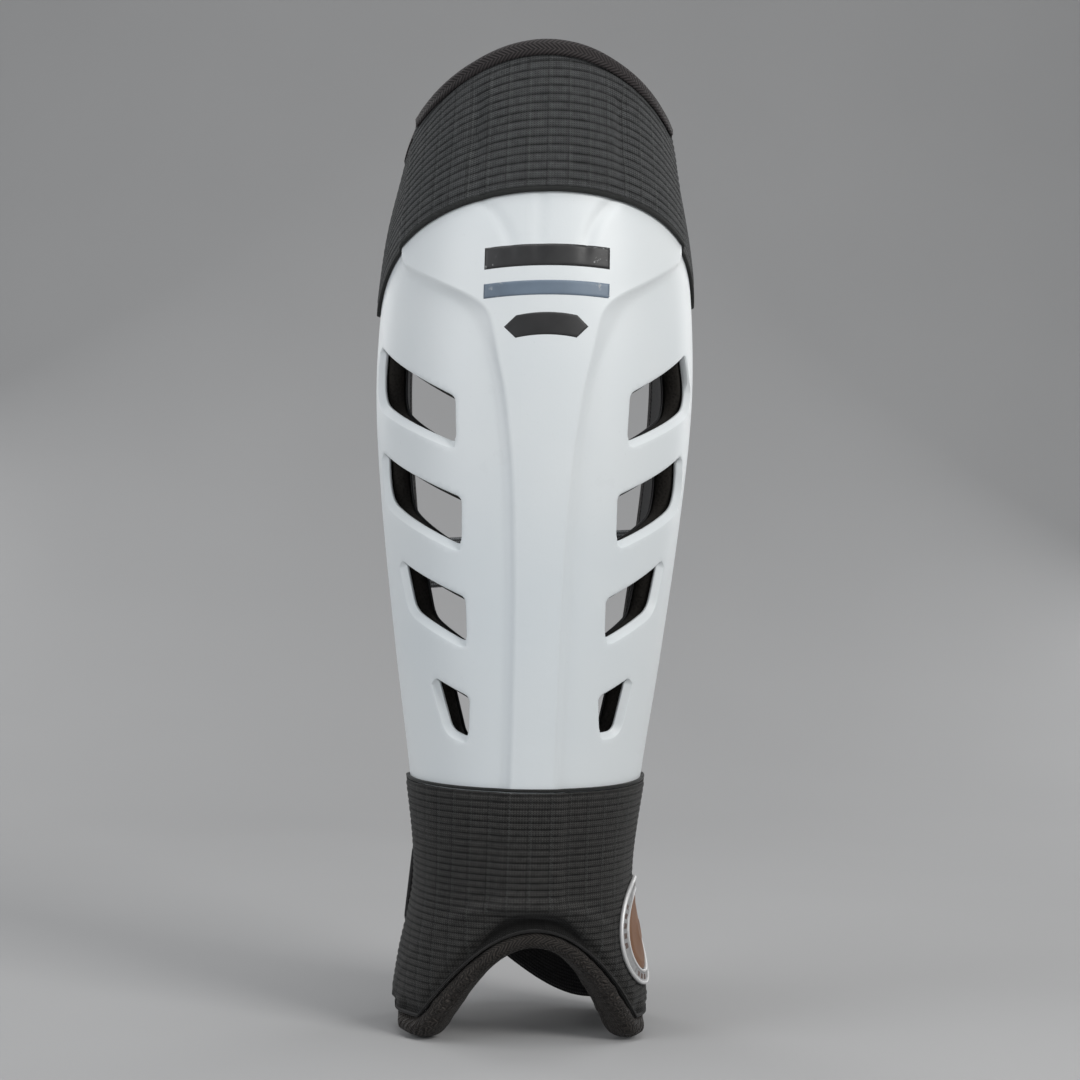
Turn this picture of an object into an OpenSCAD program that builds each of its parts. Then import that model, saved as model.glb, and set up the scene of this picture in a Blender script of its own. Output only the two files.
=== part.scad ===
// Field hockey shin and ankle guard, left leg. Millimetres, +Z up, front faces -Y.
// Origin: centre of the bounding box, at floor level. Every curved layer is an offset
// of one guide skin, addressed by arc length s round the leg and by height z.

/* [Overall] */
// Overall height
guard_h = 340; // [280:1:380]
// Half of the greatest width
guard_half_w = 56.9; // [50:0.1:62]
// Moves the whole guard along Y so that the box is centred
shift_y = 1.75; // [-6:0.05:10]

/* [Shell] */
// Thickness of the plastic shell
shell_t = 2.8; // [2:0.1:3.2]
// Height of the raised chest and spine panel
panel_relief = 1.3; // [0:0.1:2]
// Bottom edge of the shell
shell_low = 50; // [46:1:60]
// Rise of the hems, bars and panel towards the outer side, per millimetre of width
lean = 0.04; // [0:0.01:0.08]
// Half width of the two printed bars
bar_half = 20.5; // [15:0.5:26]
// Corner size of the windows
window_corner = 3.5; // [2:0.5:5]
// How far the liner openings sit below the shell windows
liner_window_drop = 2; // [0:0.5:4]

/* [Padding] */
// Thickness of the foam liner
foam_t = 5.8; // [4:0.1:6]
// Thickness of the inner lining fabric
lining_t = 0.5; // [0.4:0.1:0.9]
// Thickness of the two ankle bone pads
ankle_pad_t = 5; // [3:0.5:7]

/* [Covers and binding] */
// Thickness of the knitted covers
cover_t = 1.2; // [0.8:0.1:1.3]
// Lower edge of the top cover at the centre
top_hem_z = 286.5; // [270:0.5:300]
// Upper edge of the ankle cover at the centre
ankle_hem_z = 86; // [80:1:100]
// Visible width of the binding tape
tape_w = 6; // [4:0.5:8]
// Thickness of the binding tape
tape_t = 0.8; // [0.6:0.1:0.9]
// Height of the instep arch, underside of the roll
arch_h = 33.3; // [24:0.1:38]
// Lift of the lower edge at the sides of the ankle
side_lift = 8; // [0:0.5:10]
// Half-thickness of the padded arch roll
roll_r = 6.9; // [6:0.1:7.5]

/* [Straps] */
// Thickness of the strap webbing
strap_t = 1.6; // [1.2:0.1:1.8]
// Width of the calf strap
calf_w = 18; // [16:1:26]
// Height of the calf strap centre at the sewn end
calf_z = 167; // [150:1:200]
// Drop of the calf strap from the sewn end to the tab
calf_drop = 7; // [0:1:14]
// Bow of the straps behind the leg
strap_bow = 8; // [4:1:14]
// Width of the ankle tab
ankle_tab_w = 26; // [20:1:28]

/* [Badge] */
// Diameter of the ankle badge
badge_d = 36.5; // [30:0.5:44]

/* [Hidden] */
$fn = 48;
H = guard_h;
CURL = 0.004;
// gap between layers that are bonded to each other
GAP = 0.2;
// stations of the guide section: height share, half width, half depth of the front
// arc, front distance from the leg axis and wing length, as shares of the half width
STATIONS = [
    [0.000, 0.783, 0.703, 0.791, 0.490],
    [0.074, 0.725, 0.668, 0.738, 0.490],
    [0.156, 0.645, 0.633, 0.703, 0.475],
    [0.259, 0.710, 0.694, 0.720, 0.457],
    [0.385, 0.818, 0.782, 0.764, 0.440],
    [0.541, 0.934, 0.888, 0.808, 0.440],
    [0.647, 0.982, 0.931, 0.817, 0.440],
    [0.735, 0.968, 0.923, 0.800, 0.420],
    [0.809, 0.919, 0.896, 0.764, 0.370],
    [0.882, 0.828, 0.852, 0.712, 0.280],
    [0.956, 0.723, 0.800, 0.641, 0.160],
    [1.000, 0.645, 0.764, 0.589, 0.070]
];
LAST = len(STATIONS) - 1;
FOAM_OUT = -shell_t - 3 * GAP;
FOAM_IN = FOAM_OUT - foam_t;
// the lining and the tapes clear the facets of the layer below by this much
LAYER_GAP = 0.5;
LINING_OUT = FOAM_IN - LAYER_GAP;
LINING_IN = LINING_OUT - lining_t;
TAPE_IN = LINING_IN - 2 * GAP - tape_t;
COVER_IN = 0.4;
COVER_OUT = COVER_IN + cover_t;
// the outer layers sink by this much behind the shell edge
WING_DROP = 2.6;
SHELL_PAST_SIDE = 1;
// share of the edge length reached by the shell's upper corners
SHELL_TOP_U = 0.87;
// share of the edge length reached by the underside and by the top of the arch roll
ARCH_U = 0.42;
ROLL_U = 0.54;
ROLL_TOP_H = arch_h + 6.5;
// the padded feet either side of the arch
FOOT_TOP = 8.5;
FOOT_U = 0.60;
// the arch sits this much towards the outer side
ARCH_SHIFT = 0.03;
HEM_LEVEL_U = 0.78;
// the wing fabric reaches up under the top cover
WING_TOP_Z = 256;
SOLE_T = 3.2;
// the roll is cut flat where it would reach below the floor
SOLE_CUT = 1;
CORNER_R = 5;
CALF_IN = -1.5;
ANKLE_IN = 0.5;
// distance of the two hinge lines from the rear edge, along the skin
SEW_BACK = 6.8;
TAB_BACK = 2;
// half of the gap between two webbing pieces at a hinge line
HINGE_GAP = 0.3;
BADGE_S = 52.5;
BADGE_Z = 36;
// centre, half size and edge thickness of the ankle bone pads
PAD_S = 64.5;
PAD_Z = 40;
PAD_HALF_S = 14;
PAD_HALF_Z = 24;
PAD_EDGE = 0.8;

WHITE = "#dfe5e8";
BLACK = "#17181a";
CHARCOAL = "#2a2b2e";
GREY = "#5c6670";
FOAM = "#3a3835";
SILVER = "#b9bcc0";
COPPER = "#8a4b32";

// ---------- guide skin ----------
function smooth(t) = let (c = min(1, max(0, t))) c * c * (3 - 2 * c);
function mix(a, b, t) = a + (b - a) * t;
function seg(q, i = 0) = (i >= LAST - 1 || q < STATIONS[i + 1][0]) ? i : seg(q, i + 1);
function slope(c, k) = let (a = max(k - 1, 0), b = min(k + 1, LAST))
    (STATIONS[b][c] - STATIONS[a][c]) / (STATIONS[b][0] - STATIONS[a][0]);
function hermite(p, q, m, n, t) =
    (2 * t * t * t - 3 * t * t + 1) * p + (t * t * t - 2 * t * t + t) * m
    + (3 * t * t - 2 * t * t * t) * q + (t * t * t - t * t) * n;
function share(c, z) = let (q = min(1, max(0, z / H)), i = seg(q),
    h = STATIONS[i + 1][0] - STATIONS[i][0], t = (q - STATIONS[i][0]) / h)
    guard_half_w * hermite(STATIONS[i][c], STATIONS[i + 1][c], slope(c, i) * h,
                           slope(c, i + 1) * h, t);
// arc length from the centre line to the side, where the wing starts
function side_s(z) = PI / 4 * (share(1, z) + share(2, z));
function edge_s(z) = side_s(z) + share(4, z);
function skin(s, z, off) = let (w = share(1, z), a = share(2, z), y0 = -share(3, z),
    q = PI / 4 * (w + a), sg = s < 0 ? -1 : 1, e = max(0, abs(s) - q),
    p = 90 * min(abs(s), q) / q,
    x = w * sin(p) - CURL * e * e, y = y0 + a * (1 - cos(p)) + e,
    nx = a * sin(p), ny = -w * cos(p) + 2 * CURL * e * a, n = norm([nx, ny]))
    [sg * (x + off * nx / n), y + off * ny / n + shift_y, max(0, z)];
// height of the outline at share u of the edge
function top_z(u) = H - 46 * pow(abs(u), 2.1);
function bump(u, r, h) = h * pow(max(0, 1 - u * u / (r * r)), 1.35);
// the lower edge lifts off the floor between the front feet and the rear corners
function lift(u) = side_lift * smooth((abs(u) - 0.52) / 0.10) * (1 - smooth((abs(u) - 0.78) / 0.12))
    + 5 * smooth((abs(u) - 0.965) / 0.035);
function arch_low(u) = max(bump(u - ARCH_SHIFT, ARCH_U, arch_h), lift(u)) - SOLE_CUT;
function roll_top(u) = max(abs(u) < FOOT_U ? FOOT_TOP : 0, SOLE_T + lift(u),
    bump(u - ARCH_SHIFT, ROLL_U, ROLL_TOP_H));
// the top hem falls away to the sides and runs level across the wings
function top_hem(u) = let (w = min(HEM_LEVEL_U, abs(u)))
    top_hem_z - 40 * w * w - 30 * pow(w, 4) + lean * 105 * (u < 0 ? -w : w);
function ankle_hem(u) = ankle_hem_z + 2.8 * u * u + lean * 35 * u;
// how far the outer layers have sunk at arc length s
function sunk(s, z) = WING_DROP * smooth((abs(s) - side_s(z) - SHELL_PAST_SIDE) / 5);
// inner face of the side tape: over the covers at both ends, over the wing between
function rim(z) = let (cover = COVER_OUT + GAP - WING_DROP)
    z > 170 ? mix(-WING_DROP, cover + panel_relief, smooth((z - 232) / 10))
    : mix(-WING_DROP, cover, smooth((112 - z) / 10));
// half width of the raised panel against height: narrow spine, wide chest
PANEL = [[110, 7], [205, 10.5], [231, 15], [243, 17.2], [248.4, 20.1], [255, 31], [265, 54], [270, 56.5]];
function relief(s, z) =
    panel_relief * (1 - smooth((abs(s) - lookup(z - lean * s, PANEL) + 1) / 5));

// ---------- builders ----------
// closed solid between an outer and an inner grid of points
module plate(a, b) {
    n = len(a);
    m = len(a[0]);
    k = n * m;
    polyhedron(
        points = concat([for (r = a) each r], [for (r = b) each r]),
        faces = concat(
            [for (i = [0:n - 2], j = [0:m - 2], p = [i * m + j])
                each [[p, p + m, p + m + 1], [p, p + m + 1, p + 1],
                      [p + k, p + m + 1 + k, p + m + k], [p + k, p + 1 + k, p + m + 1 + k]]],
            [for (j = [0:m - 2], q = [(n - 1) * m + j])
                each [[j, j + 1, j + 1 + k], [j, j + 1 + k, j + k],
                      [q + 1, q, q + k], [q + 1, q + k, q + 1 + k]]],
            [for (i = [0:n - 2], p = [i * m], q = [i * m + m - 1])
                each [[p + m, p, p + k], [p + m, p + k, p + m + k],
                      [q, q + m, q + m + k], [q, q + m + k, q + k]]]),
        convexity = 10);
}
function steps(n) = [for (i = [0:n]) i / n];
function spread(n) = [for (i = [0:n]) -1 + 2 * i / n];

// rounded outline of a window from its four corners, as [s, z] points
function corner(p, c, q, r, n) = let (d = (p - c) / norm(p - c), e = (q - c) / norm(q - c))
    [for (i = [0:n], t = [i / n]) c + d * r * (1 - t) * (1 - t) + e * r * t * t];
function ring(c, r, n) = [for (k = [0:3], f = [c[k]], g = [c[(k + 1) % 4]])
    each concat(corner(c[(k + 3) % 4], f, g, r, n),
        [for (i = [1:n - 1], t = [i / n]) let (l = norm(g - f))
            mix(f + (g - f) * r / l, g - (g - f) * r / l, t)])];
// plug through the layers with that outline
module plug(c, out, in) {
    n = len(c);
    mid = [for (k = [0:1]) (c[0][k] + c[floor(n / 2)][k]) / 2];
    polyhedron(
        points = concat([for (p = c) skin(p[0], p[1], out)], [for (p = c) skin(p[0], p[1], in)],
                        [skin(mid[0], mid[1], out), skin(mid[0], mid[1], in)]),
        faces = [for (i = [0:n - 1], j = [(i + 1) % n])
            each [[j, i, 2 * n], [i + n, j + n, 2 * n + 1],
                  [i, j, j + n], [i, j + n, i + n]]],
        convexity = 4);
}
// four windows on each side: outer top, inner top, inner bottom, outer bottom
WINDOWS_OUTER = [
    [[62, 236], [30.5, 220.5], [29.8, 204], [72, 219.5]],
    [[62, 201], [26.8, 186], [27, 170], [65.5, 185]],
    [[52, 164.5], [23.8, 151], [24, 137.4], [47, 148]],
    [[36, 124.4], [22.4, 118], [23.6, 105.5], [31, 106.5]]
];
WINDOWS_INNER = [
    [[73, 236], [30.3, 217.6], [29.5, 202], [76.5, 218]],
    [[69.8, 199.3], [27, 183.8], [26.6, 167.6], [69.5, 183.8]],
    [[55.4, 162], [24.7, 150.4], [23.8, 135.2], [49, 145.7]],
    [[36.6, 122.8], [22.3, 117], [22.5, 103.2], [30, 105.7]]
];
module window_plugs(drop, grow, n) {
    for (side = [-1, 1], w = [0:3]) {
        c = side > 0 ? WINDOWS_OUTER[w] : WINDOWS_INNER[w];
        m = (c[0] + c[1] + c[2] + c[3]) / 4;
        g = [for (p = c) [side * (p[0] + grow * sign(p[0] - m[0])),
                          p[1] - drop + grow * sign(p[1] - m[1])]];
        order = side > 0 ? g : [g[3], g[2], g[1], g[0]];
        plug(ring(order, window_corner, n), 4, LINING_IN - 4);
    }
}
// layer over the whole guard between two named heights; wing says which faces sink on the wings
module layer(out, in, nu, nz, inset, lo, hi, wing = [0, 0]) {
    grid = [for (v = steps(nz)) [for (u = spread(nu))
        let (z = mix(line(lo, u), line(hi, u), v)) [u * (edge_s(z) - inset), z]]];
    plate([for (r = grid) [for (p = r) skin(p[0], p[1], out - wing[0] * sunk(p[0], p[1]))]],
          [for (r = grid) [for (p = r) skin(p[0], p[1], in - wing[1] * sunk(p[0], p[1]))]]);
}
function line(kind, u) = kind == "roll" ? roll_top(u) + 0.4
    : kind == "foam" ? roll_top(u) + 1.6
    : kind == "top" ? top_z(u) - 1.6
    : kind == "hem" ? top_hem(u)
    : kind == "ankle" ? ankle_hem(u)
    : kind == "gap" ? shell_low - 2
    : kind == "joint" ? shell_low - 1 : 0;
// narrow plate that follows a strip of the skin
module strip(s0, s1, z0, z1, ns, nz, out, in, tilt = 0) {
    a = [for (v = steps(nz)) [for (t = steps(ns)) let (s = mix(s0, s1, t)) [s, mix(z0, z1, v) + tilt * t]]];
    plate([for (r = a) [for (p = r) skin(p[0], p[1], out)]],
          [for (r = a) [for (p = r) skin(p[0], p[1], in)]]);
}

// ---------- shell and its graphics ----------
function shell_s(z) = min(side_s(z) + SHELL_PAST_SIDE, edge_s(z) - 5);
module shell() {
    grid = [for (v = steps(27)) [for (u = spread(30))
        let (z = mix(shell_low, top_z(SHELL_TOP_U * u) - 5, v)) [u * shell_s(z), z]]];
    color(WHITE)
    resize([0, 0, 0])
    difference() {
        plate([for (r = grid) [for (p = r) skin(p[0], p[1], relief(p[0], p[1]))]],
              [for (r = grid) [for (p = r) skin(p[0], p[1], -shell_t)]]);
        window_plugs(0, 0, 4);
    }
}
module print_band(z0, z1, half, n, rows) {
    // printed area that follows the raised panel, arched like the chest
    g = [for (v = steps(rows)) [for (u = spread(n))
        let (s = u * half * (rows > 1 ? 1 - 0.28 * abs(2 * v - 1) : 1))
        [s, mix(z0, z1, v) + 1.05 * (1 - u * u) + lean * s]]];
    plate([for (r = g) [for (p = r) skin(p[0], p[1], panel_relief + 0.5)]],
          [for (r = g) [for (p = r) skin(p[0], p[1], panel_relief + 0.15)]]);
}
module stripe_black() color(BLACK) print_band(260.6, 267.9, bar_half, 8, 1);
module stripe_grey() color(GREY) print_band(250.8, 255.7, bar_half, 8, 1);
module front_mark() color(BLACK) print_band(237.5, 245, 13.5, 8, 2);
module shell_patches() {
    color(CHARCOAL) {
        for (side = [-1, 1], z = [78, 256])
            strip(side * 44 - 9, side * 44 + 9, z - 9, z + 9, 4, 3,
                  -shell_t - 0.15, -shell_t - 0.45);
    }
}

// ---------- padding ----------
module foam_liner() {
    color(FOAM)
    resize([0, 0, 0])
    difference() {
        layer(FOAM_OUT, FOAM_IN, 22, 16, 2.2, "joint", "top");
        window_plugs(liner_window_drop, 0.6, 2);
    }
}
module lining() {
    color(CHARCOAL)
    resize([0, 0, 0])
    difference() {
        layer(LINING_OUT, LINING_IN, 22, 18, 1.6, "roll", "top");
        window_plugs(liner_window_drop, 0.6, 2);
    }
}
module ankle_foam() {
    color(FOAM) layer(-0.3, FOAM_IN, 24, 4, 2.2, "foam", "gap", [1, 0]);
}
module ankle_pad(side) {
    // domed oval pad over the ankle bone
    n = 8;
    top = LINING_IN - GAP;
    g = [for (b = spread(n)) [for (a = spread(n))
        [a * sqrt(1 - b * b / 2), b * sqrt(1 - a * a / 2)]]];
    color(FOAM) plate(
        [for (r = g) [for (p = r) skin(side * PAD_S + PAD_HALF_S * p[0], PAD_Z + PAD_HALF_Z * p[1], top)]],
        [for (r = g) [for (p = r) let (d = max(0, 1 - p[0] * p[0] - p[1] * p[1]))
            skin(side * PAD_S + PAD_HALF_S * p[0], PAD_Z + PAD_HALF_Z * p[1],
                 top - PAD_EDGE - ankle_pad_t * sqrt(d))]]);
}

// ---------- covers ----------
module top_cover() color(CHARCOAL)
    layer(COVER_OUT + panel_relief, COVER_IN + panel_relief, 34, 8, 1.6, "hem", "top", [1, 1]);
module top_cover_hem() {
    g = [for (v = [0, 1]) [for (u = spread(34)) let (z = top_hem(u) - 2.2 + 1.9 * v)
        [u * (edge_s(z) - 1.6), z]]];
    color(BLACK) plate(
        [for (r = g) [for (p = r) skin(p[0], p[1], COVER_OUT + panel_relief - sunk(p[0], p[1]))]],
        [for (r = g) [for (p = r) skin(p[0], p[1], COVER_IN + panel_relief - sunk(p[0], p[1]))]]);
}
module ankle_cover() {
    g = [for (v = steps(9)) [for (u = spread(28))
        let (z = mix(roll_top(u) + 0.4, ankle_hem(u), v)) [u * (edge_s(z) - 1.6), z]]];
    color(CHARCOAL) plate(
        [for (r = g) [for (p = r) skin(p[0], p[1], COVER_OUT + 1.3 * ankle_share(p) - sunk(p[0], p[1]))]],
        [for (r = g) [for (p = r) skin(p[0], p[1], COVER_IN + 1.3 * ankle_share(p) - sunk(p[0], p[1]))]]);
}
// the cover rides over the end of the spine and over the shell edge
function ankle_share(p) = 1 - smooth((abs(p[0]) - 12) / 8);
module ankle_cover_hem() {
    g = [for (v = [0, 1]) [for (u = spread(32)) let (z = ankle_hem(u) + 0.3 + 1.4 * v)
        [u * (edge_s(z) - 1.6), z]]];
    color(BLACK) plate(
        [for (r = g) [for (p = r) skin(p[0], p[1], COVER_OUT + 1.3 * ankle_share(p) - sunk(p[0], p[1]))]],
        [for (r = g) [for (p = r) skin(p[0], p[1], COVER_IN + 1.3 * ankle_share(p) - sunk(p[0], p[1]))]]);
}
module wing(side) {
    // outer fabric of the liner behind the shell edge, between the two covers
    n = 10;
    g = [for (v = steps(n)) let (z = mix(ankle_hem_z + 7, WING_TOP_Z, v)) [for (t = steps(4))
        let (s = mix(side_s(z) + SHELL_PAST_SIDE + 1, edge_s(z) - 1.6, t)) [side * s, z]]];
    f = side > 0 ? g : [for (r = g) [for (j = [4:-1:0]) r[j]]];
    color(CHARCOAL) plate(
        [for (r = f) [for (p = r) skin(p[0], p[1], -WING_DROP - GAP)]],
        [for (r = f) [for (p = r) skin(p[0], p[1], FOAM_OUT + 0.1)]]);
}

// ---------- bindings ----------
// tape folded over an edge: section points are [distance in from the edge, offset]
function tape(out, in, t) = [
    [[tape_w, out], [0.6, out], [-t, out - 1.2], [-t, in + 1.2], [0.6, in], [tape_w, in]],
    [[tape_w, out - t], [0.6, out - t], [0, out - t - 0.6], [0, in + t + 0.6], [0.6, in + t], [tape_w, in + t]]
];
module top_binding() {
    n = 26;
    o = COVER_OUT + GAP + tape_t;
    f = [for (u = spread(n)) let (z = top_z(u) - tape_t) [u, z,
        tape(o + panel_relief, TAPE_IN, tape_t)]];
    color(BLACK) plate(
        [for (k = [0:5]) [for (q = f) let (z = q[1] - q[2][0][k][0])
            skin(q[0] * (edge_s(z) - 1), z, q[2][0][k][1] - (k < 3 ? sunk(q[0] * edge_s(z), z) : 0))]],
        [for (k = [0:5]) [for (q = f) let (z = q[1] - q[2][1][k][0])
            skin(q[0] * (edge_s(z) - 1), z, q[2][1][k][1] - (k < 3 ? sunk(q[0] * edge_s(z), z) : 0))]]);
}
module side_binding(side) {
    n = 24;
    f = [for (v = steps(n)) let (z = mix(SOLE_T + 10, top_z(1) - tape_w - 1, v))
        [z, tape(rim(z) + tape_t, TAPE_IN, tape_t)]];
    a = [for (q = f) [for (p = q[1][0]) skin(side * (edge_s(q[0]) - 0.9 - p[0]), q[0], p[1])]];
    b = [for (q = f) [for (p = q[1][1]) skin(side * (edge_s(q[0]) - 0.9 - p[0]), q[0], p[1])]];
    if (side > 0) {
        color(BLACK) plate(a, b);
    } else {
        color(BLACK) plate([for (r = a) [for (j = [5:-1:0]) r[j]]],
                           [for (r = b) [for (j = [5:-1:0]) r[j]]]);
    }
}
module arch_binding() {
    // padded roll under the instep, running on as a sole under both ankle sides
    mid = (COVER_OUT + LINING_IN) / 2;
    angles = [-78, -52, -26, 0, 26, 52, 78];
    function row(sg) = [for (t = angles) [for (u = spread(44))
        let (z = mix(arch_low(u), roll_top(u), (1 + sin(t)) / 2),
             r = roll_r * (1 - 0.12 * smooth((abs(u) - 0.6) / 0.2)))
        skin(u * (edge_s(z) - 0.8), z, mid + sg * r * cos(t) - sunk(u * edge_s(z), z) * (1 + sg) / 2)]];
    color(BLACK) plate(row(1), row(-1));
}
module arch_piping() {
    g = [for (v = [0, 1]) [for (u = [for (i = [-22:22]) i / 22 * 0.62]) let (z = roll_top(u) - 0.3 + 1.5 * v)
        [u * edge_s(z), z]]];
    color(CHARCOAL) plate(
        [for (r = g) [for (p = r) skin(p[0], p[1], COVER_OUT + 1.3 * ankle_share(p) + 1.3)]],
        [for (r = g) [for (p = r) skin(p[0], p[1], COVER_OUT + 1.3 * ankle_share(p) + 0.3)]]);
}

// ---------- badge ----------
module on_ankle(out, in, outer_d, inner_d) {
    c = skin(BADGE_S, BADGE_Z, 0);
    f = skin(BADGE_S, BADGE_Z, 1);
    a = atan2(f[1] - c[1], f[0] - c[0]);
    resize([0, 0, 0])
    difference() {
        intersection() {
            strip(BADGE_S - 24, BADGE_S + 24, BADGE_Z - 24, BADGE_Z + 24, 9, 5, out, in);
            translate(c)
            rotate([0, 90, a])
            cylinder(d = outer_d, h = 40, center = true);
        }
        if (inner_d > 0) {
            translate(c)
            rotate([0, 90, a])
            cylinder(d = inner_d, h = 50, center = true);
        }
    }
}
module badge_ring() color(SILVER) on_ankle(COVER_OUT + 2.2, COVER_OUT + 0.2, badge_d, badge_d * 0.72);
module badge_disc() color(COPPER) on_ankle(COVER_OUT + 1.5, COVER_OUT + 0.2, badge_d * 0.72 - 0.4, 0);

// ---------- straps ----------
// point of a strap at share t of its back run, height z and offset of its face
function back_run(t, z, off, start, stop) = let (
    n_side = 0.12, n_arc = 0.2, e = edge_s(z), p = skin(e, z, off), yc = p[1] + 0.6,
    r = CORNER_R + off - strap_base(z),
    xc = p[0] - r, half = xc, b = 1 - 2 * (t - n_arc) / (1 - 2 * n_arc))
    t < n_side ? skin(mix(e - start, e, t / n_side), z, off)
    : t < n_arc ? let (k = 90 * (t - n_side) / (n_arc - n_side)) [xc + r * cos(k), yc + r * sin(k), z]
    : t <= 1 - n_arc ? [half * b, yc + r + strap_bow * pow(1 - b * b, 2), z]
    : t <= 1 - n_side ? let (k = 90 * (1 - n_side - t) / (n_arc - n_side))
        [-xc - r * cos(k), yc + r * sin(k), z]
    : let (q = skin(mix(e, e - stop, (t - 1 + n_side) / n_side), z, off)) [-q[0], q[1], z];
function strap_base(z) = z > 100 ? CALF_IN : ANKLE_IN;
RUN = concat([for (i = [0:2]) 0.12 * i / 2], [for (i = [1:4]) 0.12 + 0.08 * i / 4],
             [for (i = [1:15]) 0.2 + 0.6 * i / 16],
             [for (i = [0:4]) 0.8 + 0.08 * i / 4], [for (i = [1:2]) 0.88 + 0.12 * i / 2]);
// share of the way across the back, 0 at the sewn end and 1 at the tab
function across(t) = min(1, max(0, (t - 0.16) / 0.68));
function calf_mid(t) = calf_z - calf_drop * across(t);
function ankle_lo(t) = mix(ANKLE_LO, ANKLE_TAB_LO, smooth((across(t) - 0.18) / 0.78));
function ankle_hi(t) = mix(ANKLE_HI, ANKLE_TAB_HI, smooth((across(t) - 0.1) / 0.8));
module strap(lo, hi, base, rows) {
    ends = [for (off = [base + strap_t, base]) [for (z = [lo, hi]) [for (k = [0:len(RUN) - 1])
        back_run(RUN[k], z[k], off, SEW_BACK - HINGE_GAP, TAB_BACK + HINGE_GAP)]]];
    plate(ruled(ends[0], rows), ruled(ends[1], rows));
}
// straight lines from a lower to an upper run of points, so that a hinge line stays straight
function ruled(e, rows) = [for (v = steps(rows)) [for (k = [0:len(e[0]) - 1]) mix(e[0][k], e[1][k], v)]];
// patch on the outside of one wing, between two distances from the rear edge
module wing_patch(side, back0, back1, z0, z1, out, in, rows = 1) {
    ends = [for (off = [out, in]) [for (z = [for (v = steps(rows)) mix(z0, z1, v)]) [for (t = steps(4))
        skin(side * (edge_s(z) - mix(back1, back0, side > 0 ? t : 1 - t)), z, off)]]];
    plate(ends[0], ends[1]);
}
CALF_LO = calf_z - calf_w / 2;
CALF_HI = calf_z + calf_w / 2;
CALF_TAB_LO = CALF_LO - calf_drop;
CALF_TAB_HI = CALF_HI - calf_drop;
ANKLE_LO = 4;
ANKLE_HI = 55;
ANKLE_TAB_LO = ANKLE_LO + 31;
ANKLE_TAB_HI = ANKLE_TAB_LO + ankle_tab_w;
module calf_anchor() color(BLACK)
    wing_patch(1, SEW_BACK + HINGE_GAP, 20.5, CALF_LO, CALF_HI, CALF_IN + strap_t, -WING_DROP);
module calf_strap() color(BLACK)
    strap([for (t = RUN) calf_mid(t) - calf_w / 2], [for (t = RUN) calf_mid(t) + calf_w / 2], CALF_IN, 1);
module calf_tab() color(CHARCOAL)
    wing_patch(-1, TAB_BACK + HINGE_GAP, 16.5, CALF_TAB_LO, CALF_TAB_HI, CALF_IN + strap_t, CALF_IN);
module calf_pull() color(GREY)
    wing_patch(-1, 16.8, 21, CALF_TAB_LO + 6, CALF_TAB_HI - 6, CALF_IN + strap_t - 0.2, CALF_IN + 0.2);
module calf_loop() color(BLACK)
    wing_patch(-1, 7.3, 20.5, CALF_TAB_LO - 4, CALF_TAB_HI + 4, CALF_IN - 0.3, -WING_DROP, 3);
module ankle_anchor() color(BLACK)
    wing_patch(1, SEW_BACK + HINGE_GAP, 15, ANKLE_LO, ANKLE_HI, ANKLE_IN + strap_t, -0.3);
module ankle_strap() color(BLACK)
    strap([for (t = RUN) ankle_lo(t)], [for (t = RUN) ankle_hi(t)], ANKLE_IN, 1);
module ankle_tab() color(CHARCOAL)
    wing_patch(-1, TAB_BACK + HINGE_GAP, 17.5, ANKLE_TAB_LO, ANKLE_TAB_HI, ANKLE_IN + strap_t, ANKLE_IN);
module ankle_pull() color(GREY)
    wing_patch(-1, 17.8, 22, ANKLE_TAB_LO + 7, ANKLE_TAB_HI - 7, ANKLE_IN + strap_t - 0.2, ANKLE_IN + 0.2);
module ankle_loop() color(BLACK)
    wing_patch(-1, 7.3, 20.5, ANKLE_TAB_LO - 3, ANKLE_TAB_HI + 3, ANKLE_IN - 0.5, -0.5, 4);

shell();
shell_patches();
stripe_black();
stripe_grey();
front_mark();
foam_liner();
lining();
ankle_foam();
ankle_pad(-1);  // ankle_pad_left
ankle_pad(1);  // ankle_pad_right
top_cover();
top_cover_hem();
ankle_cover();
ankle_cover_hem();
wing(-1);  // wing_left
wing(1);  // wing_right
top_binding();
side_binding(-1);  // side_binding_left
side_binding(1);  // side_binding_right
arch_binding();
arch_piping();
badge_ring();
badge_disc();
calf_anchor();
calf_strap();
calf_tab();
calf_pull();
calf_loop();
ankle_anchor();
ankle_strap();
ankle_tab();
ankle_pull();
ankle_loop();
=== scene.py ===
import math

import bpy
import numpy as np
from mathutils import Matrix, Vector
from mathutils.geometry import delaunay_2d_cdt


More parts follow.
